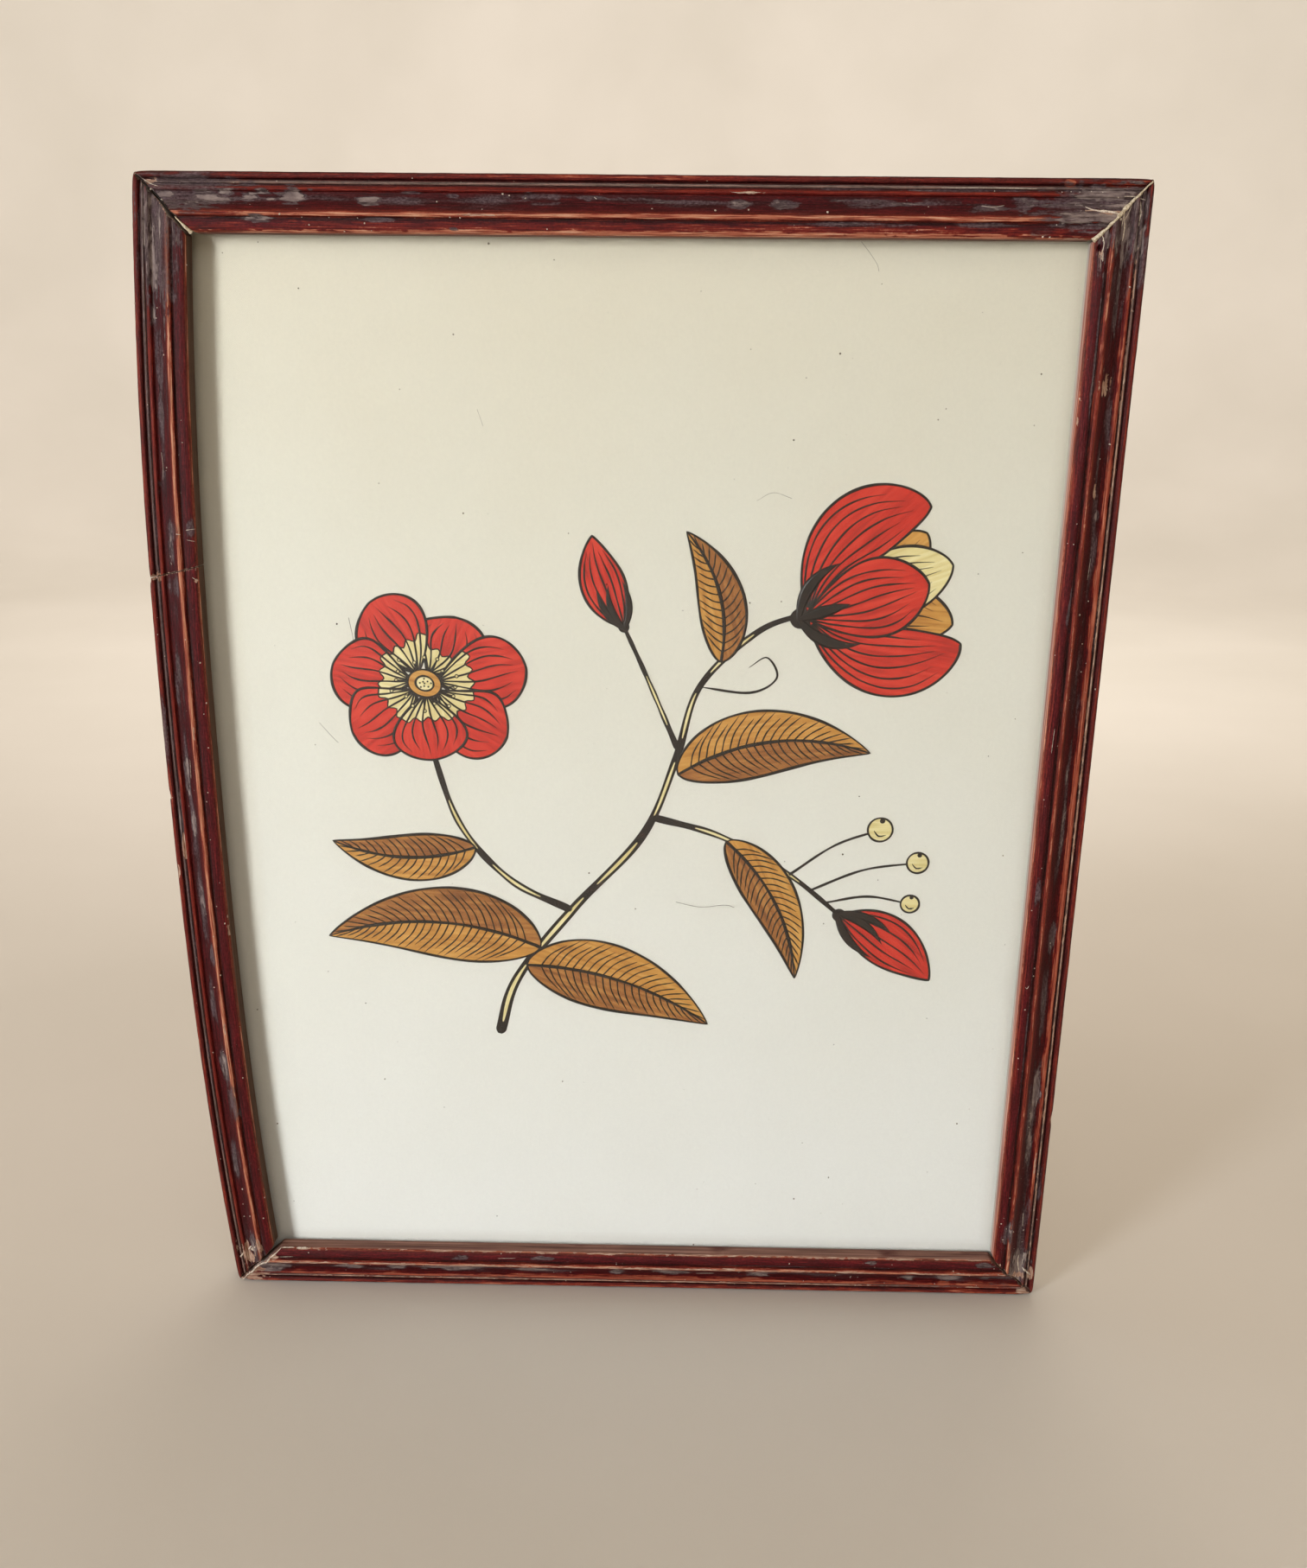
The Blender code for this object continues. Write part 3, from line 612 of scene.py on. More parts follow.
def makeRail(name, node, marks, place, start, end, seed, wallShadeShare=0.0, coat=0.0):
    # the shade share paints shade onto the inner wall, where the light doesn't reach, and coat lays copper
    # over it, partly a painted highlight
    points, kinds = mouldingSection()
    count = len(points)
    ahead = np.roll(points, -1, axis=0) - points
    lengths = np.linalg.norm(ahead, axis=1)
    outward = np.stack([-ahead[:, 1], ahead[:, 0]], axis=1) / lengths[:, None]
    outward = outward + np.roll(outward, 1, axis=0)
    outward /= np.linalg.norm(outward, axis=1)[:, None]
    reached = np.concatenate([[0], np.cumsum(lengths)])

    section = points[None, :, 0]
    first, last = start(section), end(section)
    stations = stationsAlong(first.min(), float((last - first).max()), marks)
    along = first * (1 - stations[:, None]) + last * stations[:, None]
    across = np.broadcast_to(section, along.shape)
    rubbed, bare, dust, hole, depth = wearAt(marks, along, across, seed)
    onFace = np.array([kind == "face" for kind in kinds])
    handled = onFace | np.roll(onFace, 1)
    fromEnd = np.minimum(along - first, last - along)
    depth = np.where(handled[None, :], depth, 0.0)
    # mitres are rounded by handling
    atCrack = np.abs(along - crack["drop"] - crack["slope"] * across) < 2
    handling = np.where(atCrack & name.startswith("left"), mitreWear["crackShare"], 1.0)
    ragged = mitreWear["ragged"] * drift(across / 1.3, along * 0 + seed, seed + 8)
    worn = (mitreWear["depth"] + ragged) * handling
    depth = depth + np.where(points[None, :, 1] > 0.1, worn * np.exp(-fromEnd / mitreWear["reach"]), 0.0)
    tip = np.exp(-(across + fromEnd) / mitreWear["tipReach"]) * (points[None, :, 1] > 3)
    depth = depth + mitreWear["tipDepth"] * tip * handling
    bare = np.maximum(bare, 0.6 * np.exp(-fromEnd / 0.6))
    wornAcross = across - outward[None, :, 0] * depth
    wornRise = points[None, :, 1] - outward[None, :, 1] * depth

    places = np.stack(place(along, wornAcross, wornRise), axis=-1) * mm
    rings = len(stations)
    corners = np.arange(rings * count).reshape(rings, count)
    nextCorners = np.roll(corners, -1, axis=1)
    quads = np.stack([corners[:-1], nextCorners[:-1], nextCorners[1:], corners[1:]], axis=-1).reshape(-1, 4)
    faces = quads.tolist() + [corners[0].tolist(), corners[-1].tolist()[::-1]]
    mesh = bpy.data.meshes.new(name)
    mesh.from_pydata(places.reshape(-1, 3).tolist(), [], faces)
    mesh.materials.append(rubbedLacquer)
    mesh.materials.append(rawRailWood)
    raw = np.array([kind == "raw" for kind in kinds])
    slots = np.append(np.tile(raw, rings - 1), [True, True]).astype(np.int32)
    mesh.polygons.foreach_set("material_index", slots)

    # lengthwise distance and distance round the section, so that grain and streaks follow the rail
    run = mesh.uv_layers.new(name="run")
    u = np.stack([along[:-1], along[:-1], along[1:], along[1:]], axis=-1)
    u[..., 1] = np.roll(along[:-1], -1, axis=1)
    u[..., 2] = np.roll(along[1:], -1, axis=1)
    v = np.broadcast_to(np.stack([reached[:-1], reached[1:], reached[1:], reached[:-1]], axis=-1), u.shape)
    sides = np.stack([u, v], axis=-1).reshape(-1, 2)
    caps = np.concatenate([points, points[::-1]])
    run.data.foreach_set("uv", ((np.concatenate([sides, caps]) + 3 * seed) * mm).astype(np.float32).ravel())

    # a nail hole is painted as black inside as the quirk: painted shade in the hole
    shade = across * (1 - hole) + moulding["quirk"][0] * hole
    inner = (points[None, :, 1] > moulding["rebate"][1] - 0.1) + 0 * across
    nearFace = points[None, :, 1] > moulding["arris"][1] - 3
    # on the inner wall, coat paints copper near the face and a pale foot below, partly a painted highlight
    rubbed = np.where(raw[None, :], coat * inner * nearFace, rubbed * (1 - hole))
    dust = np.where(raw[None, :], coat * inner * ~nearFace, dust)
    layers = {"across": shade, "rubbed": rubbed, "bare": bare, "dust": dust, "paintedWallShade": wallShadeShare * inner}
    for label, values in layers.items():
        attribute = mesh.attributes.new(label, "FLOAT", "POINT")
        attribute.data.foreach_set("value", values.astype(np.float32).ravel())
    bm = bmesh.new()
    bm.from_mesh(mesh)
    bmesh.ops.recalc_face_normals(bm, faces=bm.faces)
    bm.to_mesh(mesh)
    bm.free()
    mesh.shade_smooth()
    mesh.set_sharp_from_angle(angle=math.radians(48))
    rail = bpy.data.objects.new(name, mesh)
    bpy.context.collection.objects.link(rail)
    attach(rail, "root")
    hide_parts(node)
    return rail


widthMm, heightMm = frameWidth / mm, frameHeight / mm
leftMm, topMm, bottomMm, backMm = frameLeft / mm, frameTop / mm, frameBottom / mm, frameBack / mm


def alongTop(along, across, rise):
    return leftMm + along, backMm - rise, topMm - across


def alongBottom(along, across, rise):
    return leftMm + along, backMm - rise, bottomMm + across


def alongRight(along, across, rise):
    return leftMm + widthMm - across, backMm - rise, topMm - along


def alongLeft(along, across, rise):
    return leftMm + across - bow(along), backMm - rise, topMm - along


def mitreStart(corner):
    return lambda across: across + mitreOpening[corner]


def mitreEnd(length, corner):
    return lambda across: length - across - mitreOpening[corner]


def crackEdge(shift):
    return lambda across: crack["drop"] + crack["slope"] * across + shift


rails = [
    makeRail(
        "topRail", "rail_top", wearAndPaintedLight["top"], alongTop,
        mitreStart("topLeft"), mitreEnd(widthMm, "topRight"), 11,
    ),
    makeRail(
        "bottomRail", "rail_bottom", wearAndPaintedLight["bottom"], alongBottom,
        mitreStart("bottomLeft"), mitreEnd(widthMm, "bottomRight"), 23,
    ),
    # the right rail's inner wall faces the light, and its coat is partly a painted highlight
    makeRail(
        "rightRail", "rail_right", wearAndPaintedLight["right"], alongRight,
        mitreStart("topRight"), mitreEnd(heightMm, "bottomRight"), 37, coat=0.8,
    ),
    # the left rail's inner wall faces away from the light, so it gets painted shade
    makeRail(
        "leftRailUpper", "rail_left_upper", wearAndPaintedLight["left"], alongLeft,
        mitreStart("topLeft"), crackEdge(-crack["half"]), 41, wallShadeShare=0.75,
    ),
    makeRail(
        "leftRailLower", "rail_left_lower", wearAndPaintedLight["left"], alongLeft,
        crackEdge(crack["half"]), mitreEnd(heightMm, "bottomLeft"), 41, wallShadeShare=0.75,
    ),
]
print("rails made")


# Geometry Nodes trees: one sweeps a round or flattened section along lines, one scatters grains on faces


def groupInput(tree, name, kind, value=None):
    socket = tree.interface.new_socket(name=name, in_out="INPUT", socket_type=kind)
    if value is not None:
        socket.default_value = value
    return socket


def makeSweepTree():
    tree = bpy.data.node_groups.new("sweptLines", "GeometryNodeTree")
    groupInput(tree, "Geometry", "NodeSocketGeometry")
    groupInput(tree, "Sides", "NodeSocketInt", 8)
    groupInput(tree, "Flatness", "NodeSocketVector", (1.0, 1.0, 1.0))
    groupInput(tree, "Material", "NodeSocketMaterial")
    tree.interface.new_socket(name="Geometry", in_out="OUTPUT", socket_type="NodeSocketGeometry")
    given = addNode(tree, "NodeGroupInput").outputs
    lines = addNode(tree, "GeometryNodeMeshToCurve", {"Mesh": given["Geometry"]}).outputs[0]
    level = addNode(tree, "GeometryNodeSetCurveNormal", {"Curve": lines}, mode="Z_UP").outputs[0]
    girth = addNode(tree, "GeometryNodeInputNamedAttribute", {"Name": "girth"}).outputs["Attribute"]
    sized = addNode(tree, "GeometryNodeSetCurveRadius", {"Curve": level, "Radius": girth}).outputs[0]
    circle = addNode(
        tree, "GeometryNodeCurvePrimitiveCircle", {"Resolution": given["Sides"], "Radius": 1.0}
    )
    section = addNode(
        tree, "GeometryNodeTransform", {"Geometry": circle.outputs["Curve"], "Scale": given["Flatness"]}
    ).outputs[0]
    swept = addNode(
        tree, "GeometryNodeCurveToMesh",
        {"Curve": sized, "Profile Curve": section, "Scale": girth, "Fill Caps": True},
    ).outputs[0]
    real = addNode(tree, "GeometryNodeRealizeInstances", {"Geometry": swept}).outputs[0]
    finished = addNode(
        tree, "GeometryNodeSetMaterial", {"Geometry": real, "Material": given["Material"]}
    ).outputs[0]
    addNode(tree, "NodeGroupOutput", {"Geometry": finished})
    return tree


def makeGrainTree():
    tree = bpy.data.node_groups.new("scatteredGrains", "GeometryNodeTree")
    groupInput(tree, "Geometry", "NodeSocketGeometry")
    groupInput(tree, "Grains per square metre", "NodeSocketFloat", 1000.0)
    groupInput(tree, "Smallest radius", "NodeSocketFloat", 0.0001)
    groupInput(tree, "Largest radius", "NodeSocketFloat", 0.0003)
    groupInput(tree, "Seed", "NodeSocketInt", 1)
    groupInput(tree, "Material", "NodeSocketMaterial")
    tree.interface.new_socket(name="Geometry", in_out="OUTPUT", socket_type="NodeSocketGeometry")
    given = addNode(tree, "NodeGroupInput").outputs
    spread = addNode(
        tree, "GeometryNodeDistributePointsOnFaces",
        {"Mesh": given["Geometry"], "Density": given["Grains per square metre"], "Seed": given["Seed"]},
    )
    turn = addNode(
        tree, "FunctionNodeRandomValue", {"Max": (6.3, 6.3, 6.3), "Seed": given["Seed"]},
        data_type="FLOAT_VECTOR",
    ).outputs["Value"]
    even = addNode(
        tree, "FunctionNodeRandomValue", {2: 0.0, 3: 1.0, "Seed": given["Seed"]}, data_type="FLOAT"
    ).outputs[1]
    mostlySmall = addNode(tree, "ShaderNodeMath", {0: even, 1: 3.0}, operation="POWER").outputs[0]
    radius = addNode(
        tree, "ShaderNodeMapRange",
        {"Value": mostlySmall, "To Min": given["Smallest radius"], "To Max": given["Largest radius"]},
    ).outputs["Result"]
    lump = addNode(tree, "GeometryNodeMeshIcoSphere", {"Radius": 1.0, "Subdivisions": 2}).outputs["Mesh"]
    grains = addNode(
        tree, "GeometryNodeInstanceOnPoints",
        {"Points": spread.outputs["Points"], "Instance": lump, "Rotation": turn, "Scale": radius},
    ).outputs[0]
    real = addNode(tree, "GeometryNodeRealizeInstances", {"Geometry": grains}).outputs[0]
    bumps = addNode(tree, "ShaderNodeTexNoise", {"Scale": 2600.0, "Detail": 1.0}).outputs["Color"]
    centred = addNode(
        tree, "ShaderNodeVectorMath", {0: bumps, 1: (0.5, 0.5, 0.5)}, operation="SUBTRACT"
    ).outputs["Vector"]
    lumpy = addNode(
        tree, "ShaderNodeVectorMath", {0: centred, "Scale": given["Smallest radius"]}, operation="SCALE"
    ).outputs["Vector"]
    uneven = addNode(tree, "GeometryNodeSetPosition", {"Geometry": real, "Offset": lumpy}).outputs[0]
    finished = addNode(
        tree, "GeometryNodeSetMaterial", {"Geometry": uneven, "Material": given["Material"]}
    ).outputs[0]
    addNode(tree, "NodeGroupOutput", {"Geometry": finished})
    return tree


def runTree(name, mesh, tree, values):
    # makes the tree's result a plain mesh and hangs it on the frame
    piece = bpy.data.objects.new(name, mesh)
    bpy.context.collection.objects.link(piece)
    modifier = piece.modifiers.new(tree.name, "NODES")
    modifier.node_group = tree
    for item in tree.interface.items_tree:
        if item.in_out == "INPUT" and item.name in values:
            modifier[item.identifier] = values[item.name]
    evaluated = piece.evaluated_get(bpy.context.evaluated_depsgraph_get())
    made = bpy.data.meshes.new_from_object(evaluated)
    piece.modifiers.clear()
    piece.data = made
    made.name = name
    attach(piece, "root")
    return piece


def linesMesh(name, lines):
    # lines are (points in metres, half widths in metres)
    places, edges, girths = [], [], []
    for points, halves in lines:
        first = len(places)
        places += [tuple(p) for p in points]
        girths += [float(h) for h in halves]
        edges += [(i, i + 1) for i in range(first, len(places) - 1)]
    mesh = bpy.data.meshes.new(name)
    mesh.from_pydata(places, edges, [])
    mesh.attributes.new("girth", "FLOAT", "POINT").data.foreach_set("value", girths)
    return mesh


sweepTree = makeSweepTree()
grainTree = makeGrainTree()


# the painted sprig: a generic flowering branch, drawn in mm from the middle of the sheet, x right and z up

sprig = {
    "stemWidth": (4.4, 2.2),
    "leafVeinGap": 3.1,
    "outlineWidth": 1.0,
    "lineWidth": 0.7,
    "bleed": 0.28,  # how far the colour strays over or short of its line
    "step": 0.9,  # gap between points on a line
    "filmDepth": 0.05,  # colour lies on the ground coat, and the lines lie over it
    "filmLift": 0.02,
    "lineLift": 0.15,
    "lineFlatness": 0.03,
}
shapes = []  # (layer, colour, outline, brush line)
penLines = []  # (layer, path, half widths)
strayer = np.random.default_rng(8)


def smoothPath(points, step, closed=False):
    points = [np.array(p, float) for p in points]
    if closed:
        ring = [points[-1], *points, *points[:2]]
    else:
        ring = [2 * points[0] - points[1], *points, 2 * points[-1] - points[-2]]
    path = []
    for a, b, c, d in zip(ring, ring[1:], ring[2:], ring[3:]):
        count = max(2, int(np.linalg.norm(c - b) / step))
        for i in range(count):
            t = i / count
            cubic = (2 * a - 5 * b + 4 * c - d) * t * t + (3 * b - a - 3 * c + d) * t**3
            path.append(0.5 * (2 * b + (c - a) * t + cubic))
    if not closed:
        path.append(points[-1])
    return np.array(path)


def sideways(path):
    ahead = np.gradient(path, axis=0)
    ahead /= np.linalg.norm(ahead, axis=1)[:, None] + 1e-9
    return np.stack([-ahead[:, 1], ahead[:, 0]], axis=1)


def drawLine(layer, points, width, taper=(0.35, 0.15), closed=False):
    # one stroke of the pen, which swells and thins and lifts at its ends
    path = smoothPath(points, sprig["step"], closed)
    if closed:
        path = np.vstack([path, path[:1]])
    t = np.linspace(0, 1, len(path))
    press = np.ones(len(path))
    if not closed:
        press = np.clip(t / 0.12, 0, 1) * (1 - taper[0]) + taper[0]
        press = np.minimum(press, np.clip((1 - t) / 0.25, 0, 1) * (1 - taper[1]) + taper[1])
    phase = len(penLines) * 1.7
    shake = 1 + 0.12 * np.sin(t * 9 + phase) + 0.08 * np.sin(t * 23 + 2 * phase)
    penLines.append((layer, path, width / 2 * press * shake))


def fillShape(layer, colour, outline, brush):
    outline = np.vstack([outline, outline[:1]])
    reached = np.append(0, np.cumsum(np.linalg.norm(np.diff(outline, axis=0), axis=1)))
    places = np.linspace(0, reached[-1], max(12, int(reached[-1] / 0.7)), endpoint=False)
    outline = np.stack([np.interp(places, reached, outline[:, k]) for k in (0, 1)], axis=1)
    stray = drift(places / 3.5, places * 0 + strayer.uniform(0, 90), 5) * sprig["bleed"]
    shapes.append((layer, colour, outline + sideways(outline) * stray[:, None], brush))


def shares(count):
    # places from 0 to 1, closer together towards both ends
    return (1 - np.cos(np.linspace(0, math.pi, count))) / 2


def bentAxis(base, tip, bend, count=44):
    base, tip = np.array(base, float), np.array(tip, float)
    across = np.array([-(tip - base)[1], (tip - base)[0]])
    t = shares(count)[:, None]
    return base + (tip - base) * t + across * bend * 4 * t * (1 - t)


def between(path, t):
    place = math.acos(1 - 2 * t) / math.pi * (len(path) - 1)
    low = min(int(place), len(path) - 2)
    return path[low] + (path[low + 1] - path[low]) * (place - low)


def drawLeaf(layer, base, tip, width, bend):
    axis = bentAxis(base, tip, bend)
    side = sideways(axis)
    half = width / 2 * np.sin(np.pi * shares(44) ** 0.72) ** 0.85
    upper, lower = axis + side * half[:, None], axis - side * half[:, None]
    fillShape(layer, "amber", np.vstack([axis, upper[::-1][1:-1]]), (base, tip))
    fillShape(layer, "umber", np.vstack([axis, lower[::-1][1:-1]]), (base, tip))
    ahead = np.array(tip, float) - np.array(base, float)
    length = np.linalg.norm(ahead)
    veins = int(length * 0.84 / sprig["leafVeinGap"])
    for edge in (upper, lower):
        for i in range(veins):
            t = 0.07 + 0.84 * i / veins
            root = between(axis, t)
            end = root + (between(edge, min(t + 0.15 - 0.05 * t, 0.985)) - root) * (0.96 if i % 3 else 0.8)
            middle = (root + end) / 2 - ahead / length * np.linalg.norm(end - root) * 0.1
            drawLine(layer, [root, middle, end], 0.55, taper=(1.0, 0.3))
    drawLine(layer, [*upper[::4], upper[-1]], sprig["outlineWidth"], taper=(0.6, 0.5))
    drawLine(layer, [*lower[::4], lower[-1]], sprig["outlineWidth"] * 1.15, taper=(0.6, 0.5))
    drawLine(layer, [*axis[::6], axis[-1]], 1.3, taper=(1.3, 0.3))


def drawPetal(layer, base, tip, width, bend, colour, lines, fullness=1.35, blunt=0.62, throat=None):
    axis = bentAxis(base, tip, bend)
    side = sideways(axis)
    half = width / 2 * np.sin(np.pi * shares(44) ** fullness) ** blunt
    left, right = axis + side * half[:, None], axis - side * half[:, None]
    fillShape(layer, colour, np.vstack([left, right[::-1][1:-1]]), (base, tip))
    if throat:
        # the pale throat ends in a ragged edge
        ragged = []
        for i, f in enumerate(np.linspace(-0.97, 0.97, 9)):
            ragged.append(axis[17 + 2 * (i % 2)] + side[17] * half[17] * f)
        fillShape(layer + 0.3, throat, np.vstack([left[:17], ragged[::-1], right[:17][::-1]]), (base, tip))
        drawLine(layer + 0.5, ragged, 0.55, taper=(1, 1))
    for k in range(lines):
        f = -0.86 + 1.72 * k / (lines - 1)
        path = []
        for t in np.linspace(0.03, 0.93 - 0.1 * abs(f) - 0.05 * (k % 2), 7):
            ripple = f * (0.9 - 0.1 * t) + 0.05 * math.sin(t * 7 + k)
            path.append(between(axis, t) + between(side, t) * between(half, t) * ripple)
        drawLine(layer + 0.5, path, sprig["lineWidth"], taper=(1.1, 0.15))
    drawLine(layer + 0.7, [*left[:-1:3], left[-1]], sprig["outlineWidth"], taper=(0.9, 0.9))
    drawLine(layer + 0.7, [*right[:-1:3], right[-1]], sprig["outlineWidth"], taper=(0.9, 0.9))


def drawDot(layer, centre, radius, colour):
    angles = np.linspace(0, 2 * math.pi, 18, endpoint=False)
    ring = np.stack([centre[0] + radius * np.cos(angles), centre[1] + radius * np.sin(angles)], axis=1)
    shapes.append((layer, colour, ring, (centre, (centre[0] + 1, centre[1]))))
    return ring


def drawStem(layer, points, widths, slivers):
    path = smoothPath(points, 1.0)
    t = np.linspace(0, 1, len(path))
    half = (widths[0] * (1 - t) + widths[1] * t) / 2 * (1 + 0.08 * np.sin(t * 31))
    half = half * np.sqrt(np.clip(np.minimum(t, 1 - t) * len(path) / 2 + 0.15, 0, 1))
    edge = sideways(path) * half[:, None]
    shapes.append((layer, "ink", np.vstack([path + edge, (path - edge)[::-1]]), (path[0], path[-1])))
    for start, end in slivers:
        a, b = int(start * len(path)), int(end * len(path))
        thin = edge[a:b] * 0.36 * np.sin(np.linspace(0.12, math.pi - 0.12, b - a))[:, None] ** 0.5
        sliver = np.vstack([path[a:b] + thin, (path[a:b] - thin)[::-1]])
        shapes.append((layer + 0.2, "cream", sliver, (path[a], path[b])))


def drawOpenBloom(layer, centre, radius, turn, flatten, tilt):
    # seen at a slant, the far petals first
    def place(angle, r):
        x, z = r * math.cos(angle), r * math.sin(angle) * flatten
        return (
            centre[0] + math.cos(tilt) * x - math.sin(tilt) * z,
            centre[1] + math.sin(tilt) * x + math.cos(tilt) * z,
        )

    angles = [turn + 2 * math.pi * i / 7 for i in range(7)]
    for rank, i in enumerate(sorted(range(7), key=lambda i: -math.sin(angles[i]))):
        angle = angles[i]
        reach = radius * (0.92 + 0.1 * math.sin(3 * i + 1))
        slant = math.hypot(math.cos(angle), math.sin(angle) * flatten)
        drawPetal(
            layer + rank, place(angle, radius * 0.13), place(angle, reach), radius * (0.8 - 0.12 * slant),
            0.08 * math.sin(5 * i), "red", 6, 1.5, 0.55, "cream",
        )
    top = layer + 9
    for i in range(16):
        angle = 2 * math.pi * i / 16 + 0.1
        end = place(angle + 0.08, radius * (0.29 + 0.05 * math.sin(2.3 * i)))
        drawLine(top, [place(angle, radius * 0.16), end], 0.55, taper=(1, 0.8))
        drawDot(top + 0.2, end, 0.85, "ink")
        drawDot(top + 0.4, end, 0.45, "cream")
    for step, share, colour in ((1.0, 0.16, "amber"), (1.4, 0.085, "cream")):
        ring = [place(2 * math.pi * i / 24, radius * share) for i in range(24)]
        fillShape(top + step, colour, ring, (ring[0], ring[12]))
        drawLine(top + step + 0.1, ring, 0.8, closed=True)
    for i in range(9):
        drawDot(top + 1.8, place(2.4 * i, radius * 0.022 * math.sqrt(i)), 0.38, "ink")


def drawCupBloom(layer, base, tip, width):
    # half open, seen from the side
    base, tip = np.array(base, float), np.array(tip, float)
    ahead = tip - base
    across = np.array([-ahead[1], ahead[0]]) / np.linalg.norm(ahead) * width

    def at(forward, sideShare):
        return tuple(base + ahead * forward + across * sideShare)

    drawPetal(layer, at(0.1, 0), at(0.86, 0.33), width * 0.42, -0.05, "amber", 5)
    drawPetal(layer + 1, at(0.1, 0), at(0.88, -0.35), width * 0.42, 0.05, "amber", 5)
    drawPetal(layer + 2, at(0.1, 0), at(0.97, 0.06), width * 0.48, 0.02, "cream", 6)
    drawPetal(layer + 3, at(0.02, 0.02), at(0.92, 0.5), width * 0.5, 0.2, "red", 6)
    drawPetal(layer + 4, at(0.02, -0.02), at(0.9, -0.5), width * 0.5, -0.2, "red", 6)
    drawPetal(layer + 5, at(0.0, 0), at(0.8, -0.02), width * 0.56, 0.0, "red", 7)
    for sideShare, bend in ((0.3, 0.16), (-0.3, -0.16), (0.0, 0.0)):
        axis = bentAxis(at(-0.04, 0), at(0.3, sideShare), bend, 20)
        swell = np.sin(0.35 + (math.pi - 0.35) * shares(20))
        penLines.append((layer + 7, axis, swell * width * 0.045))
    drawDot(layer + 7.2, at(-0.03, 0), width * 0.075, "ink")


def drawBud(layer, base, tip, width):
    drawPetal(layer, base, tip, width, 0.06, "red", 5, 0.9, 0.8)
    base, tip = np.array(base, float), np.array(tip, float)
    ahead = tip - base
    across = np.array([-ahead[1], ahead[0]]) / np.linalg.norm(ahead) * width
    for sideShare in (0.3, -0.3, 0.02):
        end = base + ahead * 0.46 + across * sideShare
        axis = bentAxis(base - ahead * 0.04, end, 0.12 * np.sign(sideShare), 16)
        swell = np.sin(0.5 + (math.pi - 0.5) * shares(16))
        penLines.append((layer + 1, axis, swell * width * 0.085))
    drawDot(layer + 1.2, base - ahead * 0.02, width * 0.13, "ink")


def drawBerry(layer, root, centre, radius):
    middle = ((root[0] + centre[0]) / 2, (root[1] + centre[1]) / 2 + 3)
    drawLine(layer - 1, [root, middle, centre], 1.0, taper=(1.0, 0.5))
    ring = drawDot(layer, centre, radius, "cream")
    drawLine(layer + 0.4, ring, 0.8, closed=True)
    x, z = centre
    shade = [(x - radius * 0.5, z - radius * 0.1), (x - radius * 0.1, z - radius * 0.55)]
    drawLine(layer + 0.5, [*shade, (x + radius * 0.5, z - radius * 0.45)], 0.6)
    drawDot(layer + 0.6, (x + radius * 0.15, z + radius * 0.75), radius * 0.22, "ink")


def composeSprig():
    wide, narrow = sprig["stemWidth"]
    mainStem = [(-58, -106), (-50, -80), (-26, -48), (2, -16), (15, 16), (24, 46), (46, 68), (66, 76)]
    slivers = ((0.03, 0.16), (0.19, 0.33), (0.36, 0.47), (0.52, 0.63), (0.67, 0.76), (0.8, 0.9))
    drawStem(0, mainStem, (wide, narrow), slivers)
    drawStem(1, [(-27, -49), (-52, -36), (-72, -12), (-83, 22)], (3.2, 2.2), ((0.15, 0.42), (0.5, 0.75)))
    drawStem(1, [(6, -8), (34, -16), (62, -32), (84, -50)], (3.0, 1.8), ((0.2, 0.45), (0.52, 0.75)))
    drawStem(1, [(16, 20), (4, 48), (-6, 70)], (2.4, 1.5), ((0.2, 0.6),))
    drawLeaf(2, (-46, -74), (30, -100), 30, 0.08)
    drawLeaf(3, (-40, -66), (-128, -62), 32, -0.1)
    drawLeaf(4, (16, 10), (92, 20), 27, 0.12)
    drawLeaf(5, (-66, -22), (-124, -20), 20, 0.1)
    drawLeaf(6, (36, -18), (66, -78), 20, 0.1)
    drawLeaf(7, (32, 56), (18, 106), 18, -0.12)
    drawOpenBloom(10, (-84, 46), 42, 0.5, 0.82, -0.25)
    drawCupBloom(40, (64, 74), (122, 92), 54)
    drawBud(60, (84, -50), (122, -78), 22)
    drawBud(62, (-6, 70), (-18, 104), 17)
    drawLine(8, [(24, 46), (44, 44), (54, 50), (50, 58), (43, 54)], 0.9)
    drawBerry(9, (62, -32), (98, -12), 5.0)
    drawBerry(9, (70, -39), (114, -26), 4.4)
    drawBerry(9, (77, -44), (112, -44), 3.8)


def insideShape(points, outline):
    # even-odd test of many points against one outline
    x, z = points[:, 0, None], points[:, 1, None]
    ax, az = outline[None, :, 0], outline[None, :, 1]
    bx, bz = np.roll(ax, -1, axis=1), np.roll(az, -1, axis=1)
    spans = (az > z) != (bz > z)
    crossing = ax + (z - az) * (bx - ax) / np.where(spans, bz - az, 1.0)
    return (np.sum(spans & (x < crossing), axis=1) % 2) == 1


def covered(points, above):
    hidden = np.zeros(len(points), bool)
    for outline in above:
        hidden |= insideShape(points, outline)
    return hidden


def shownStretches(layer, path, halves):
    # the stretches of a line that no later colour covers, each ending close to the colour's edge
    above = []
    for later, colour, outline, brush in shapes:
        if later > layer and colour != "ink":
            if (path.max(0) > outline.min(0)).all() and (path.min(0) < outline.max(0)).all():
                above.append(outline)
    hidden = covered(path, above)
    stretches, run = [], []
    for i in range(len(path)):
        if not hidden[i]:
            if not run and i > 0:
                run.append(edgeOfColour(path, halves, i, i - 1, above))
            run.append((path[i], halves[i]))
        if run and (hidden[i] or i == len(path) - 1):
            if hidden[i]:
                run.append(edgeOfColour(path, halves, i - 1, i, above))
            points, widths = zip(*run)
            stretches.append((np.array(points), np.array(widths)))
            run = []
    return [stretch for stretch in stretches if len(stretch[0]) > 1]


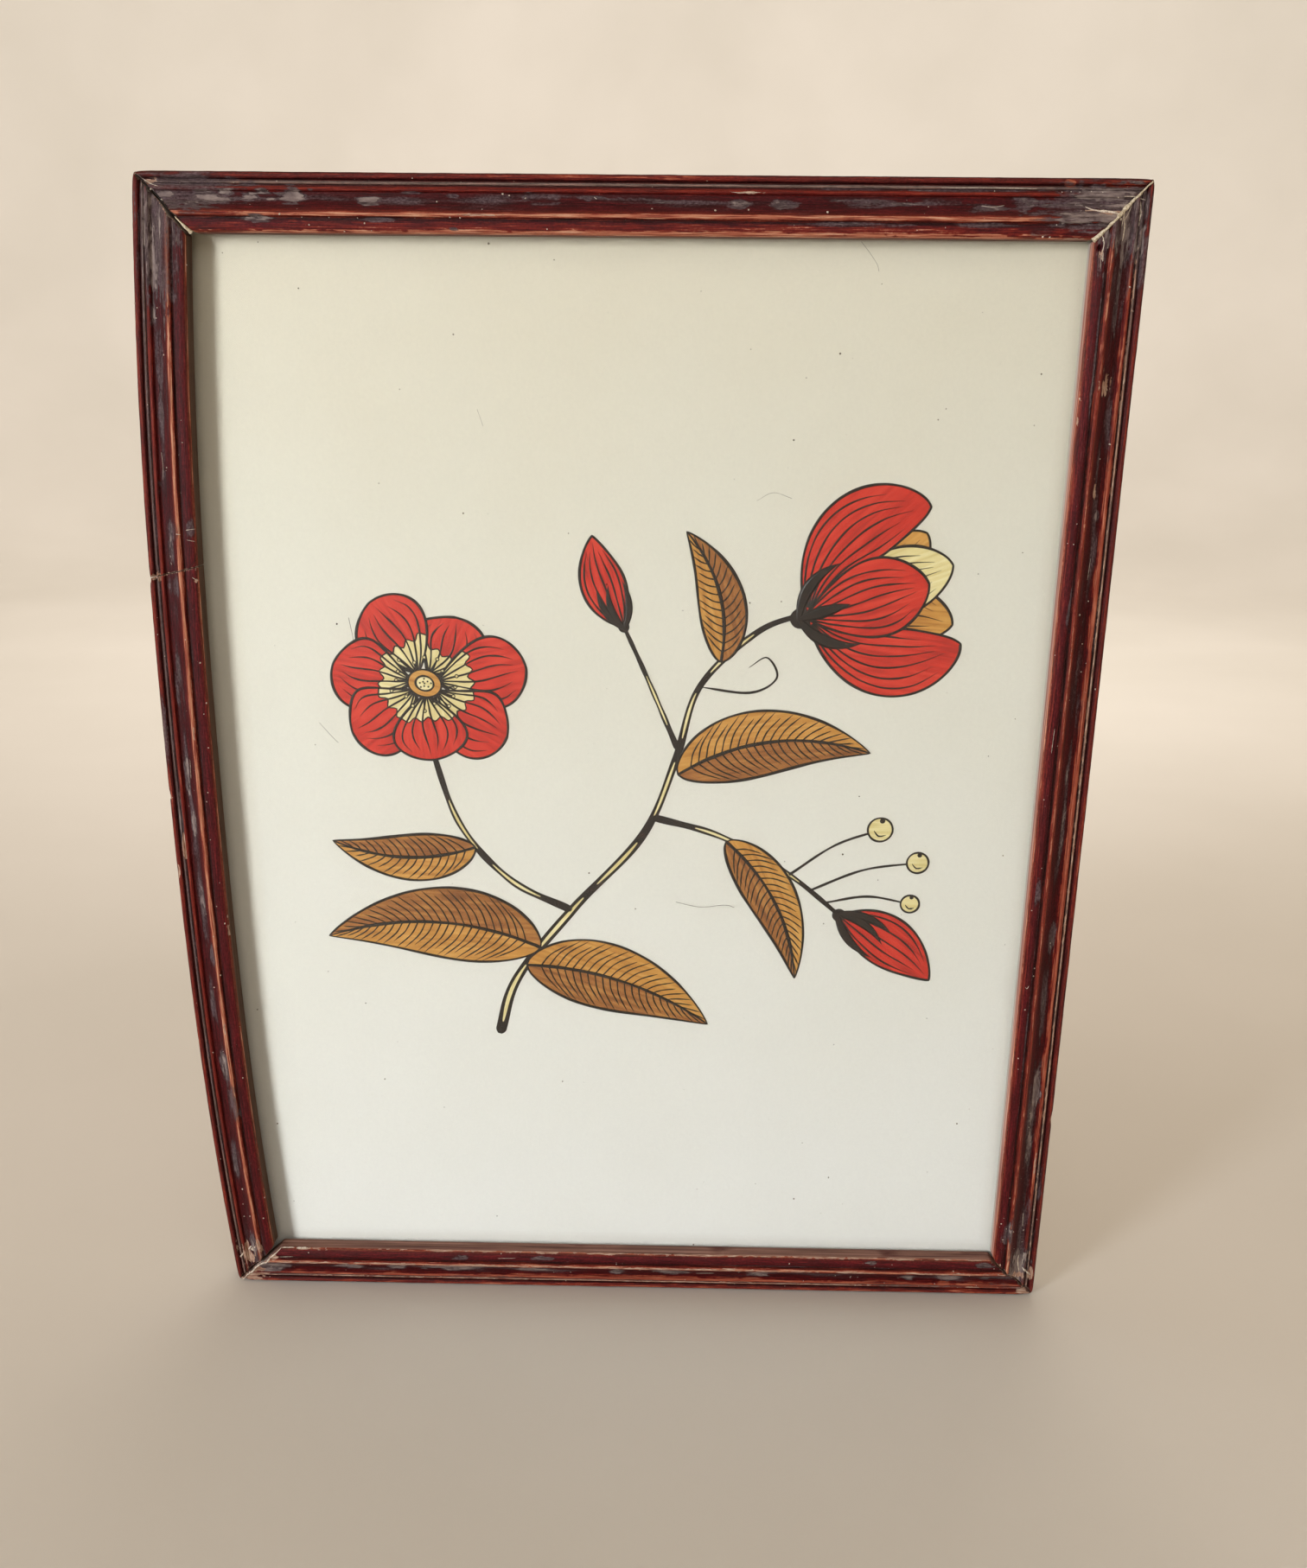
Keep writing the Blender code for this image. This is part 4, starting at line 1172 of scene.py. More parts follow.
def edgeOfColour(path, halves, shown, hidden, above):
    # the last point of the gap between two samples that is still in sight
    for t in np.linspace(0.9, 0.1, 9):
        point = path[shown] * (1 - t) + path[hidden] * t
        if not covered(point[None, :], above)[0]:
            return point, halves[shown] * (1 - t) + halves[hidden] * t
    return path[shown] * 0.999 + path[hidden] * 0.001, halves[shown]


def onSheet(points, lift):
    # drawn mm to metres, at a height in mm in front of the ground coat
    points = np.asarray(points, float)
    depth = np.full(len(points), groundFront - lift * mm)
    return np.stack([points[:, 0] * mm, depth, sheetMiddle + points[:, 1] * mm], axis=1)


def makeFilms(paints):
    # Cut the overlapping shapes into one flat layer, each patch in the colour painted last
    places, faces = [], []
    for layer, colour, outline, brush in shapes:
        corners = list(range(len(places), len(places) + len(outline)))
        ahead = np.roll(outline, -1, axis=0)
        anticlockwise = np.sum(outline[:, 0] * ahead[:, 1] - ahead[:, 0] * outline[:, 1]) > 0
        faces.append(corners if anticlockwise else corners[::-1])
        places += [Vector((float(x), float(z))) for x, z in outline]
    cut = delaunay_2d_cdt(places, [], faces, 1, 1e-4, True)
    cutPlaces, cutFaces, owners = cut[0], cut[2], cut[5]
    patches = {}
    for face, owned in zip(cutFaces, owners):
        if owned:
            top = max(owned, key=lambda k: shapes[k][0])
            patches.setdefault(shapes[top][1], []).append((face, top))
    for colour, (name, material) in paints.items():
        used = {}
        corners, uvs = [], []
        for face, top in patches[colour]:
            (ax, az), (bx, bz) = shapes[top][3]
            ahead = Vector((bx - ax, bz - az)).normalized()
            triangle = []
            for i in face:
                triangle.append(used.setdefault(i, len(used)))
                away = cutPlaces[i] - Vector((ax, az))
                uvs += [away.dot(ahead) * mm, away.dot(Vector((-ahead.y, ahead.x))) * mm + top * 0.037]
            corners.append(triangle)
        mesh = bpy.data.meshes.new(name)
        flat = [tuple(cutPlaces[i]) for i in used]
        mesh.from_pydata(onSheet(flat, sprig["filmLift"] + sprig["filmDepth"]).tolist(), [], corners)
        mesh.uv_layers.new(name="brush").data.foreach_set("uv", uvs)
        mesh.materials.append(material)
        film = bpy.data.objects.new(name, mesh)
        bpy.context.collection.objects.link(film)
        thick = film.modifiers.new("filmDepth", "SOLIDIFY")
        thick.thickness = sprig["filmDepth"] * mm
        thick.offset = -1
        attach(film, "root")


def makeEnamel(name, shades, roughness):
    # Signwriter's enamel brushed on in one thin coat, so the bristles' streaks show along each petal
    material, tree, shader = newMaterial(name)
    brush = addNode(tree, "ShaderNodeUVMap", uv_map="brush").outputs["UV"]
    place = addNode(tree, "ShaderNodeMapping", {"Vector": brush, "Scale": (45, 620, 1)}).outputs[0]
    streak = addNode(tree, "ShaderNodeTexNoise", {"Vector": place, "Scale": 1, "Detail": 4}).outputs["Fac"]
    pool = addNode(tree, "ShaderNodeTexNoise", {"Vector": brush, "Scale": 70, "Detail": 3}).outputs["Fac"]
    tone = addNode(
        tree, "ShaderNodeMath", {0: pool, 1: 0.6, 2: streak}, operation="MULTIPLY_ADD"
    ).outputs[0]
    half = addNode(tree, "ShaderNodeMath", {0: tone, 1: 0.625}, operation="MULTIPLY").outputs[0]
    colour = addNode(tree, "ShaderNodeValToRGB", {"Fac": half}, stops=shades).outputs["Color"]
    tree.links.new(colour, shader.inputs["Base Color"])
    shader.inputs["Roughness"].default_value = roughness
    bump = addNode(tree, "ShaderNodeBump", {"Strength": 0.2, "Distance": 0.0001, "Height": streak})
    tree.links.new(bump.outputs["Normal"], shader.inputs["Normal"])
    return material


enamels = {  # the film's name, the enamel's name, its tints and its roughness
    "red": ("paintRed", "brickRedEnamel", ((0.38, "A81C12"), (0.5, "C4281A"), (0.62, "D03A28")), 0.35),
    "amber": ("paintAmber", "amberEnamel", ((0.38, "A8702C"), (0.5, "BE863A"), (0.62, "CC9A50")), 0.4),
    "umber": ("paintUmber", "umberEnamel", ((0.38, "7C4A20"), (0.5, "985F2A"), (0.62, "B07A3A")), 0.4),
    "cream": ("paintCream", "creamEnamel", ((0.38, "D0BE80"), (0.5, "DCCD94"), (0.62, "E4D8A8")), 0.45),
}

composeSprig()
# near-black enamel drawn with a fine liner, a little glossy, brown where it is thin
linerEnamel = makeFlecked("linerEnamel", 420, 3, ((0.4, "120A08"), (0.62, "1E120E"), (0.76, "38221A")), 0.4)
paints = {colour: (film, makeEnamel(*enamel)) for colour, (film, *enamel) in enamels.items()}
paints["ink"] = ("paintDots", linerEnamel)
makeFilms(paints)
inkStrokes = []
for layer, path, halves in penLines:
    for shownPath, shownHalves in shownStretches(layer, path, halves):
        flat = np.column_stack([shownPath, np.zeros(len(shownPath))]) * mm
        inkStrokes.append((flat, shownHalves * mm))
inkLines = runTree(
    "inkLines", linesMesh("inkLines", inkStrokes), sweepTree,
    {"Sides": 6, "Flatness": (1.0, sprig["lineFlatness"], 1.0), "Material": linerEnamel},
)
stand = Matrix.Translation((0, groundFront - sprig["lineLift"] * mm, sheetMiddle))
inkLines.data.transform(stand @ Matrix.Rotation(math.pi / 2, 4, "X"))
inkLines.data.shade_smooth()
print("sprig painted", len(shapes), "shapes and", len(inkStrokes), "strokes")


# scratches, hair cracks and splashes on the moulding

railPlaces = {"top": alongTop, "bottom": alongBottom, "right": alongRight, "left": alongLeft}
paleScratches = [  # rail, points as (along, across) in mm, half width in mm
    ("top", ((297, 9.5), (301, 9.9), (305, 9.3)), 0.09),
    ("top", ((333, 9.5), (336, 10.6), (344, 11.7)), 0.2),
    ("top", ((337, 11.0), (341, 11.2), (344.5, 11.9)), 0.42),
    ("right", ((7.5, 4.6), (11, 4.1), (15.5, 4.3)), 0.26),
    ("right", ((12, 10.4), (16, 9.7), (20.5, 9.9)), 0.28),
    ("right", ((18, 18.6), (21.5, 17.2), (25, 17.6)), 0.14),
    ("top", ((346, 6.1), (350, 6.2), (354, 7.1)), 0.1), ("top", ((162, 7.6), (163, 8.3)), 0.12),
    ("top", ((210, 5.8), (215, 6.0), (220, 5.8)), 0.1),
    ("top", ((16.8, 16.6), (18.6, 19.2), (20.8, 20.2)), 0.2),
    ("right", ((9, 9.6), (12, 10.4), (16, 11.0)), 0.16), ("right", ((7, 7.2), (11, 8.4), (14, 10)), 0.12),
    ("top", ((3.4, 2.6), (6.5, 4.4), (9.5, 5.4)), 0.13), ("left", ((124, 17.0), (123.6, 20.2)), 0.1),
    ("left", ((127.6, 17.2), (128.2, 20.0)), 0.08), ("left", ((134, 9.1), (134.6, 9.5)), 0.14),
    ("left", ((136.6, 9.2), (137.4, 9.6)), 0.14), ("left", ((141.6, 18.2), (143, 20.1)), 0.1),
    ("left", ((125.4, 13.4), (125.6, 15.0)), 0.12), ("left", ((96, 8.0), (101, 8.4), (106, 8.1)), 0.06),
    ("left", ((214, 10.6), (222, 10.2)), 0.06),
    ("bottom", ((1.9, 0.6), (6.6, 5.3), (12.7, 11.3), (17.4, 16.1), (21.9, 20.5)), 0.34),
    ("bottom", ((22, 20.3), (27.5, 20.35)), 0.2), ("bottom", ((28.5, 20.2), (33.5, 20.3)), 0.36),
    ("left", ((447, 2.6), (444.5, 4.6)), 0.3), ("left", ((442.4, 7.4), (440, 9.2)), 0.4),
    ("right", ((448.4, 2.2), (446, 4.6), (443.6, 6.4)), 0.4),
    ("right", ((446.4, 7.4), (441, 8.6), (437.6, 8.4)), 0.3),
    ("top", ((283, 3.7), (300, 3.6), (316, 3.8)), 0.11), ("bottom", ((21, 16.2), (27, 16.6)), 0.08),
    ("bottom", ((274.8, 7.6), (275.2, 9.0)), 0.13), ("bottom", ((118, 17.6), (126, 17.9)), 0.06),
    ("bottom", ((206, 8.8), (214, 9.2)), 0.06), ("right", ((24.5, 17.2), (27.5, 17.0)), 0.12),
    ("right", ((25, 17.9), (30, 17.6)), 0.08), ("right", ((21, 17.7), (19.6, 17.5)), 0.12),
    ("right", ((305, 17.2), (306.4, 17.8), (305.8, 18.5)), 0.09), ("right", ((131, 9.2), (139, 9.6)), 0.07),
    ("right", ((196, 17.3), (206, 17.6)), 0.06), ("right", ((416, 8.4), (423, 8.0)), 0.1),
    ("right", ((436, 6.4), (443, 6.6)), 0.12),
]
hairCracks = [  # the same
    ("top", ((1.0, 0.8), (8, 7.8), (15.6, 15.4)), 0.2),
    (
        "left", ((139.2, 14.4), (138.2, 17.4), (135.2, 19.5), (131.5, 20.2), (128.6, 19.8), (127.4, 18.4)),
        0.07,
    ),
    ("left", ((140.6, 9.8), (139.4, 13.2)), 0.06), ("top", ((20, 18.2), (24, 18.8), (30, 18.9)), 0.05),
    ("right", ((21, 19.6), (20, 19.2), (15, 19.0)), 0.05),
    ("right", ((25, 19.0), (33, 18.6), (44, 18.7)), 0.05),
    ("bottom", ((340, 17.4), (332, 17.9), (318, 17.8)), 0.05),
    ("top", ((331, 18.3), (322, 17.6), (309, 17.5)), 0.05),
    ("left", ((447, 12.2), (441, 12.8), (430, 12.7)), 0.05),
    ("left", ((231, 2.9), (240, 3.0), (252, 2.8)), 0.07),
]
splashes = [  # rail, along, across, half width, all in mm
    ("top", 52.5, 14.4, 0.26), ("top", 60, 15.3, 0.22), ("top", 69.5, 15.3, 0.24), ("top", 79.5, 15.4, 0.2),
    ("top", 82, 17.1, 0.26), ("top", 62.5, 17.8, 0.2), ("top", 107, 9.6, 0.24), ("top", 130, 6.8, 0.26),
    ("top", 138, 8.2, 0.34), ("top", 204.5, 11.9, 0.26), ("top", 216, 11.6, 0.22),
    ("top", 243.5, 12.2, 0.28), ("top", 318.5, 19.6, 0.3), ("top", 321, 19.7, 0.26),
    ("top", 112, 15.0, 0.24), ("top", 115.5, 15.1, 0.2), ("top", 328, 4.6, 0.2), ("top", 331, 4.8, 0.24),
    ("top", 335, 4.5, 0.2), ("top", 339, 4.8, 0.22), ("left", 44, 0.4, 0.26), ("left", 45.5, 8.7, 0.24),
    ("left", 101.5, 10.1, 0.26), ("left", 190.5, 19.8, 0.22), ("left", 208.5, 19.2, 0.24),
    ("left", 174.5, 18.8, 0.22), ("left", 234, 7.8, 0.22), ("left", 313, 10.8, 0.26),
    ("left", 283, 19.0, 0.24), ("left", 306, 15.0, 0.22), ("left", 410.5, 10.1, 0.26),
    ("left", 418.5, 8.9, 0.24), ("left", 425, 8.3, 0.28), ("left", 423, 12.1, 0.24),
    ("left", 413, 20.0, 0.22), ("left", 423, 18.3, 0.26), ("left", 441.5, 9.6, 0.8),
    ("left", 439.4, 11.4, 0.5), ("right", 35.5, 5.6, 0.3), ("right", 43.5, 3.0, 0.28),
    ("right", 89.5, 6.5, 0.24), ("right", 163.5, 9.0, 0.24), ("right", 174.5, 8.1, 0.22),
    ("right", 118, 16.7, 0.22), ("right", 152, 11.8, 0.24), ("right", 297.5, 15.4, 0.24),
    ("right", 301, 15.5, 0.26), ("right", 316, 17.7, 0.22), ("right", 338.5, 18.5, 0.3),
    ("right", 343.5, 18.1, 0.28), ("right", 419, 18.6, 0.26), ("right", 423, 13.0, 0.24),
    ("right", 425, 7.4, 0.28), ("right", 427, 17.3, 0.24), ("right", 431, 7.5, 0.26),
    ("right", 421.5, 16.2, 0.2), ("top", 6.6, 6.3, 0.32), ("top", 10.2, 9.8, 0.36),
    ("right", 13.5, 11.8, 0.5), ("right", 429, 14.2, 0.22), ("bottom", 34, 18.6, 0.24),
    ("bottom", 52.5, 4.4, 0.24), ("bottom", 61, 12.4, 0.22), ("bottom", 150, 7.8, 0.22),
    ("bottom", 181, 11.6, 0.2), ("bottom", 247, 17.6, 0.24), ("bottom", 290, 6.0, 0.2),
    ("bottom", 327, 12.2, 0.24),
]


def faceRise(across):
    # height of the moulding's face above its back, in mm
    points, kinds = mouldingSection()
    face = np.array([point for point, kind in zip(points, kinds) if kind == "face"])
    return np.interp(across, np.maximum.accumulate(face[:, 0]), face[:, 1])


def lineOnRail(rail, points, half, seed, sunk=0.5):
    # a ragged line along the moulding's face, sunk into it by a share of its half width
    path = smoothPath(points, 0.3)
    t = np.linspace(0, 1, len(path))
    halves = half * np.sqrt(np.clip(np.minimum(t, 1 - t) * 5 + 0.08, 0, 1))
    halves = halves * (1 + 0.4 * drift(path[:, 0] / 0.8, path[:, 1] / 0.8, seed))
    crest = moulding["mainRidge"][1] + moulding["mainRidge"][2] - moulding["inset"]
    rise = np.minimum(faceRise(path[:, 1]) - moulding["inset"] - halves * sunk, crest - halves)
    x, y, z = railPlaces[rail](path[:, 0], path[:, 1], rise)
    return np.stack([x, y, z], axis=1) * mm, halves * mm


def splashLines():
    # each splash is a stub as long as it is wide, lying any way round
    chance = np.random.default_rng(15)
    lines = []
    for rail, along, across, half in splashes:
        turn = chance.uniform(0, math.pi)
        reach = half * chance.uniform(0.5, 1.6)
        step = (reach * math.cos(turn), reach * math.sin(turn) * 0.6)
        ends = ((along - step[0], across - step[1]), (along, across), (along + step[0], across + step[1]))
        lines.append(lineOnRail(rail, ends, half * 1.3, len(lines)))
    return lines


# splashes of limewash from an old whitewashed wall, chalky and off-white
limewashSplashes = makeFlecked(
    "limewashSplashes", 1400, 3, ((0.36, "B8AA9A"), (0.5, "D6CABA"), (0.64, "E8DECF")), 0.9
)
# soot and wax packed into the hair cracks of the lacquer, nearly black
crackDirt = makeFlecked("crackDirt", 900, 2, ((0.4, "0E0808"), (0.65, "221410")), 0.8)
scratchLines = [lineOnRail(*scratch, 20 + i) for i, scratch in enumerate(paleScratches)]
runTree(
    "limewashMarks", linesMesh("limewashMarks", scratchLines + splashLines()), sweepTree,
    {"Sides": 8, "Material": limewashSplashes},
).data.shade_smooth()
runTree(
    "hairCracks", linesMesh("hairCracks", [lineOnRail(*line, 60 + i) for i, line in enumerate(hairCracks)]),
    sweepTree, {"Sides": 6, "Material": crackDirt},
).data.shade_smooth()


def shelteredFace(rail):
    # a copy of a rail's lacquered face, without its outer edge and its crest, where crumbs are knocked off
    bm = bmesh.new()
    bm.from_mesh(rail.data)
    across = bm.verts.layers.float["across"]
    outerEdge, crest = 1.5, (13.5, 14.9)
    exposed = []
    for face in bm.faces:
        places = [vert[across] for vert in face.verts]
        onCrest = max(places) > crest[0] and min(places) < crest[1]
        if face.material_index == 1 or min(places) < outerEdge or onCrest:
            exposed.append(face)
    bmesh.ops.delete(bm, geom=exposed, context="FACES")
    mesh = bpy.data.meshes.new("crumbs")
    bm.to_mesh(mesh)
    bm.free()
    return mesh


for seed, rail in enumerate(rails):
    runTree(
        rail.name + "Crumbs", shelteredFace(rail), grainTree,
        {
            "Grains per square metre": 7000.0, "Smallest radius": 0.00005, "Largest radius": 0.00024,
            "Seed": 30 + seed, "Material": limewashSplashes,
        },
    )
print("rails dressed with", len(scratchLines) + len(splashes), "marks")


# pane and ground coat, on the frame's own slabs


def makeOldGlass():
    # Drawn window glass, old enough to ripple a little and to carry a faint hand-wiped haze
    material, tree, shader = newMaterial("drawnWindowGlass")
    place = addNode(tree, "ShaderNodeTexCoord").outputs["Object"]
    wipePlace = addNode(
        tree, "ShaderNodeMapping", {"Vector": place, "Scale": (9, 1, 26), "Rotation": (0, 0.5, 0)}
    ).outputs[0]
    wipe = addNode(
        tree, "ShaderNodeTexNoise", {"Vector": wipePlace, "Scale": 1, "Detail": 5}
    ).outputs["Fac"]
    haze = addNode(
        tree, "ShaderNodeMapRange",
        {"Value": wipe, "From Min": 0.45, "From Max": 0.75, "To Min": 0.015, "To Max": 0.11},
    ).outputs["Result"]
    tree.links.new(haze, shader.inputs["Roughness"])
    ripplePlace = addNode(tree, "ShaderNodeMapping", {"Vector": place, "Scale": (14, 1, 5)}).outputs[0]
    ripple = addNode(
        tree, "ShaderNodeTexNoise", {"Vector": ripplePlace, "Scale": 1, "Detail": 1}
    ).outputs["Fac"]
    bump = addNode(tree, "ShaderNodeBump", {"Strength": 0.15, "Distance": 0.0006, "Height": ripple})
    tree.links.new(bump.outputs["Normal"], shader.inputs["Normal"])
    shader.inputs["Base Color"].default_value = linear("FBFCFA")
    shader.inputs["Transmission Weight"].default_value = 1.0
    shader.inputs["IOR"].default_value = 1.36
    shadowRay = addNode(tree, "ShaderNodeLightPath").outputs["Is Shadow Ray"]
    clear = addNode(tree, "ShaderNodeBsdfTransparent", {"Color": linear("F8F9F6")}).outputs["BSDF"]
    mixed = addNode(
        tree, "ShaderNodeMixShader", {0: shadowRay, 1: shader.outputs["BSDF"], 2: clear}
    ).outputs[0]
    tree.links.new(mixed, tree.nodes["Material Output"].inputs["Surface"])
    return material


def makeGroundCoat():
    # Flat oil paint, a pale celadon laid thinly over the whole sheet and a little mottled. It is lighter and
    # cooler towards the bottom and darker and warmer at the top, partly painted light that falls stronger on
    # the lower part, and browner along the edges, where painted shade under the moulding's lip mixes with
    # dust
    material, tree, shader = newMaterial("paleGroundPaint")
    place = addNode(tree, "ShaderNodeTexCoord").outputs["Object"]
    parts = addNode(tree, "ShaderNodeSeparateXYZ", {"Vector": place}).outputs
    cloud = addNode(tree, "ShaderNodeTexNoise", {"Vector": place, "Scale": 9, "Detail": 4}).outputs["Fac"]
    # painted light, in part: the tint runs from lighter at the bottom to darker at the top
    rise = addNode(
        tree, "ShaderNodeMapRange", {"Value": parts["Z"], "From Min": frameBottom, "From Max": frameTop}
    ).outputs["Result"]
    mixed = addNode(
        tree, "ShaderNodeMath", {0: cloud, 1: 0.3, 2: rise}, operation="MULTIPLY_ADD"
    ).outputs[0]
    share = addNode(tree, "ShaderNodeMath", {0: mixed, 1: -0.15}, operation="ADD").outputs[0]
    paint = addNode(
        tree, "ShaderNodeValToRGB", {"Fac": share},
        stops=((0.0, "E4E3E0"), (0.35, "DDDBD3"), (0.7, "D7D3C5"), (1.0, "D3CBB8")),
    ).outputs["Color"]
    fine = addNode(tree, "ShaderNodeTexNoise", {"Vector": place, "Scale": 900, "Detail": 3}).outputs["Fac"]
    tone = addNode(
        tree, "ShaderNodeMapRange",
        {"Value": fine, "From Min": 0.3, "From Max": 0.7, "To Min": 0.965, "To Max": 1.0},
    ).outputs["Result"]
    grained = addNode(
        tree, "ShaderNodeVectorMath", {0: paint, "Scale": tone}, operation="SCALE"
    ).outputs["Vector"]
    # distance in from the sight edges, in metres
    sightEdge = moulding["arris"][0] * mm
    sideX = addNode(tree, "ShaderNodeMath", {0: parts["X"]}, operation="ABSOLUTE").outputs[0]
    fromSide = addNode(
        tree, "ShaderNodeMath", {0: frameRight - sightEdge, 1: sideX}, operation="SUBTRACT"
    ).outputs[0]
    centred = addNode(
        tree, "ShaderNodeMath", {0: parts["Z"], 1: sheetMiddle}, operation="SUBTRACT"
    ).outputs[0]
    upDown = addNode(tree, "ShaderNodeMath", {0: centred}, operation="ABSOLUTE").outputs[0]
    fromEnd = addNode(
        tree, "ShaderNodeMath", {0: frameHeight / 2 - sightEdge, 1: upDown}, operation="SUBTRACT"
    ).outputs[0]
    inward = addNode(tree, "ShaderNodeMath", {0: fromSide, 1: fromEnd}, operation="MINIMUM").outputs[0]
    frayed = addNode(
        tree, "ShaderNodeMath", {0: cloud, 1: 0.006, 2: inward}, operation="MULTIPLY_ADD"
    ).outputs[0]
    # painted shade with dust: browner within a few mm of the sight edges, where the moulding's lip shades
    # the sheet
    grime = addNode(
        tree, "ShaderNodeMapRange",
        {"Value": frayed, "From Min": 0.001, "From Max": 0.008, "To Min": 0.2, "To Max": 0.0},
    ).outputs["Result"]
    colour = addNode(
        tree, "ShaderNodeMix", {0: grime, 6: grained, 7: linear("B09C80")}, data_type="RGBA"
    ).outputs[2]
    tree.links.new(colour, shader.inputs["Base Color"])
    shader.inputs["Roughness"].default_value = 0.6
    return material


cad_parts["glass_pane"].data.materials[0] = makeOldGlass()
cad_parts["painted_ground"].data.materials[0] = makeGroundCoat()


# filler in the mitres, and the grit and hairs on the glass


def makeFiller():
    # Whiting and glue pressed into the open corners, yellowed and crumbling
    material, tree, shader = newMaterial("whitingFiller")
    place = addNode(tree, "ShaderNodeTexCoord").outputs["Object"]
    crumb = addNode(
        tree, "ShaderNodeTexNoise", {"Vector": place, "Scale": 1600, "Detail": 4}
    ).outputs["Fac"]
    colour = addNode(
        tree, "ShaderNodeValToRGB", {"Fac": crumb},
        stops=((0.34, "A09076"), (0.48, "D2C5A8"), (0.64, "ECE2CE")),
    ).outputs["Color"]
    tree.links.new(colour, shader.inputs["Base Color"])
    shader.inputs["Roughness"].default_value = 0.9
    bump = addNode(tree, "ShaderNodeBump", {"Strength": 0.6, "Distance": 0.0003, "Height": crumb})
    tree.links.new(bump.outputs["Normal"], shader.inputs["Normal"])
    return material


whitingFiller = makeFiller()
# house dust and fly specks, dry and matt, brown to grey
houseGrit = makeFlecked("houseGrit", 300, 1, ((0.38, "3C3026"), (0.52, "6E6252"), (0.66, "9A9080")), 0.9)

fillerRuns = {  # the run's ends across the rail in mm, its half widths along it in mm, seed
    "topRight": ((1.2, 20.5), (0.4, 0.5, 0.6, 1.15, 0.7, 0.6, 0.75, 1.3), 41),
    "topLeft": ((15.5, 20.4), (0.3, 0.55, 1.0), 43),
}


def fillerLine(corner):
    (start, end), widths, seed = fillerRuns[corner]
    step = 0.35
    crest = moulding["mainRidge"][1] + 1.06  # just under the top of the main ridge
    across = np.linspace(start, end, int((end - start) / step))
    halves = np.interp(np.linspace(0, 1, len(across)), np.linspace(0, 1, len(widths)), widths)
    halves = halves * (1 + 0.35 * drift(across / 0.9, across * 0, seed))
    rise = np.minimum(faceRise(across), crest - halves)
    side = 1 if corner == "topRight" else -1
    x = side * (widthMm / 2 - across) + 0.15 * drift(across / 1.4, across * 0 + 3, seed)
    places = np.stack([x, backMm - rise, topMm - across], axis=1) * mm
    return places, halves * mm


runTree(
    "mitreFiller", linesMesh("mitreFiller", [fillerLine("topRight"), fillerLine("topLeft")]), sweepTree,
    {"Sides": 12, "Flatness": (1.0, 0.75, 1.0), "Material": whitingFiller},
).data.shade_smooth()


def patchMesh(name, corners):
    # loose four-cornered patches to scatter grains on, in metres
    places = [corner for patch in corners for corner in patch]
    faces = [[4 * i, 4 * i + 1, 4 * i + 2, 4 * i + 3] for i in range(len(corners))]
    mesh = bpy.data.meshes.new(name)
    mesh.from_pydata(places, [], faces)
    return mesh


def glassPatch(left, right, low, high):
    # just clear of the pane
    y = paneFront - 0.00008
    return [(left, y, low), (right, y, low), (right, y, high), (left, y, high)]


glassMargin = 21 * mm  # from the frame's outside to the sight edge
bowedMargin = 14 * mm  # less on the left, where the rail bows outwards
bottomDrifts = (2.5 * mm, 1.2 * mm)  # grit gathers along the bottom
sightLeft, sightRight = frameLeft + bowedMargin, frameRight - glassMargin
sightLow, sightHigh = frameBottom + glassMargin, frameTop - glassMargin
gritPatches = [glassPatch(sightLeft, sightRight, sightLow, sightHigh)]
gritPatches += [glassPatch(sightLeft, sightRight, sightLow, sightLow + depth) for depth in bottomDrifts]
runTree(
    "glassGrit", patchMesh("glassGrit", gritPatches), grainTree,
    {
        "Grains per square metre": 1300.0, "Smallest radius": 0.00006, "Largest radius": 0.0004,
        "Seed": 4, "Material": houseGrit,
    },
)

glassHairs = [  # mm from the middle of the sheet: points along each, and half width
    ([(16, -44), (26, -46), (36, -45), (40, -46)], 0.09),
    ([(-112, 72), (-111, 66), (-110.5, 62)], 0.08),
    ([(-126, 30), (-121, 24), (-119, 22)], 0.07),
    ([(44, 118), (50, 121), (57, 119)], 0.07),
    ([(-60, 150), (-58, 144)], 0.06),
    ([(78, 208.4), (81, 205), (84, 201), (84.8, 198.6)], 0.06),
]
hairLines = []
for points, half in glassHairs:
    path = smoothPath(points, 0.8)
    onPane = np.full(len(path), paneFront - 0.00012)
    places = np.stack([path[:, 0] * mm, onPane, sheetMiddle + path[:, 1] * mm], axis=1)
    hairLines.append((places, np.full(len(path), half * mm)))
runTree(
    "glassHairs", linesMesh("glassHairs", hairLines), sweepTree,
    {"Sides": 6, "Material": houseGrit},
).data.shade_smooth()
print("pane dressed")


# planks, pins and hanger at the back


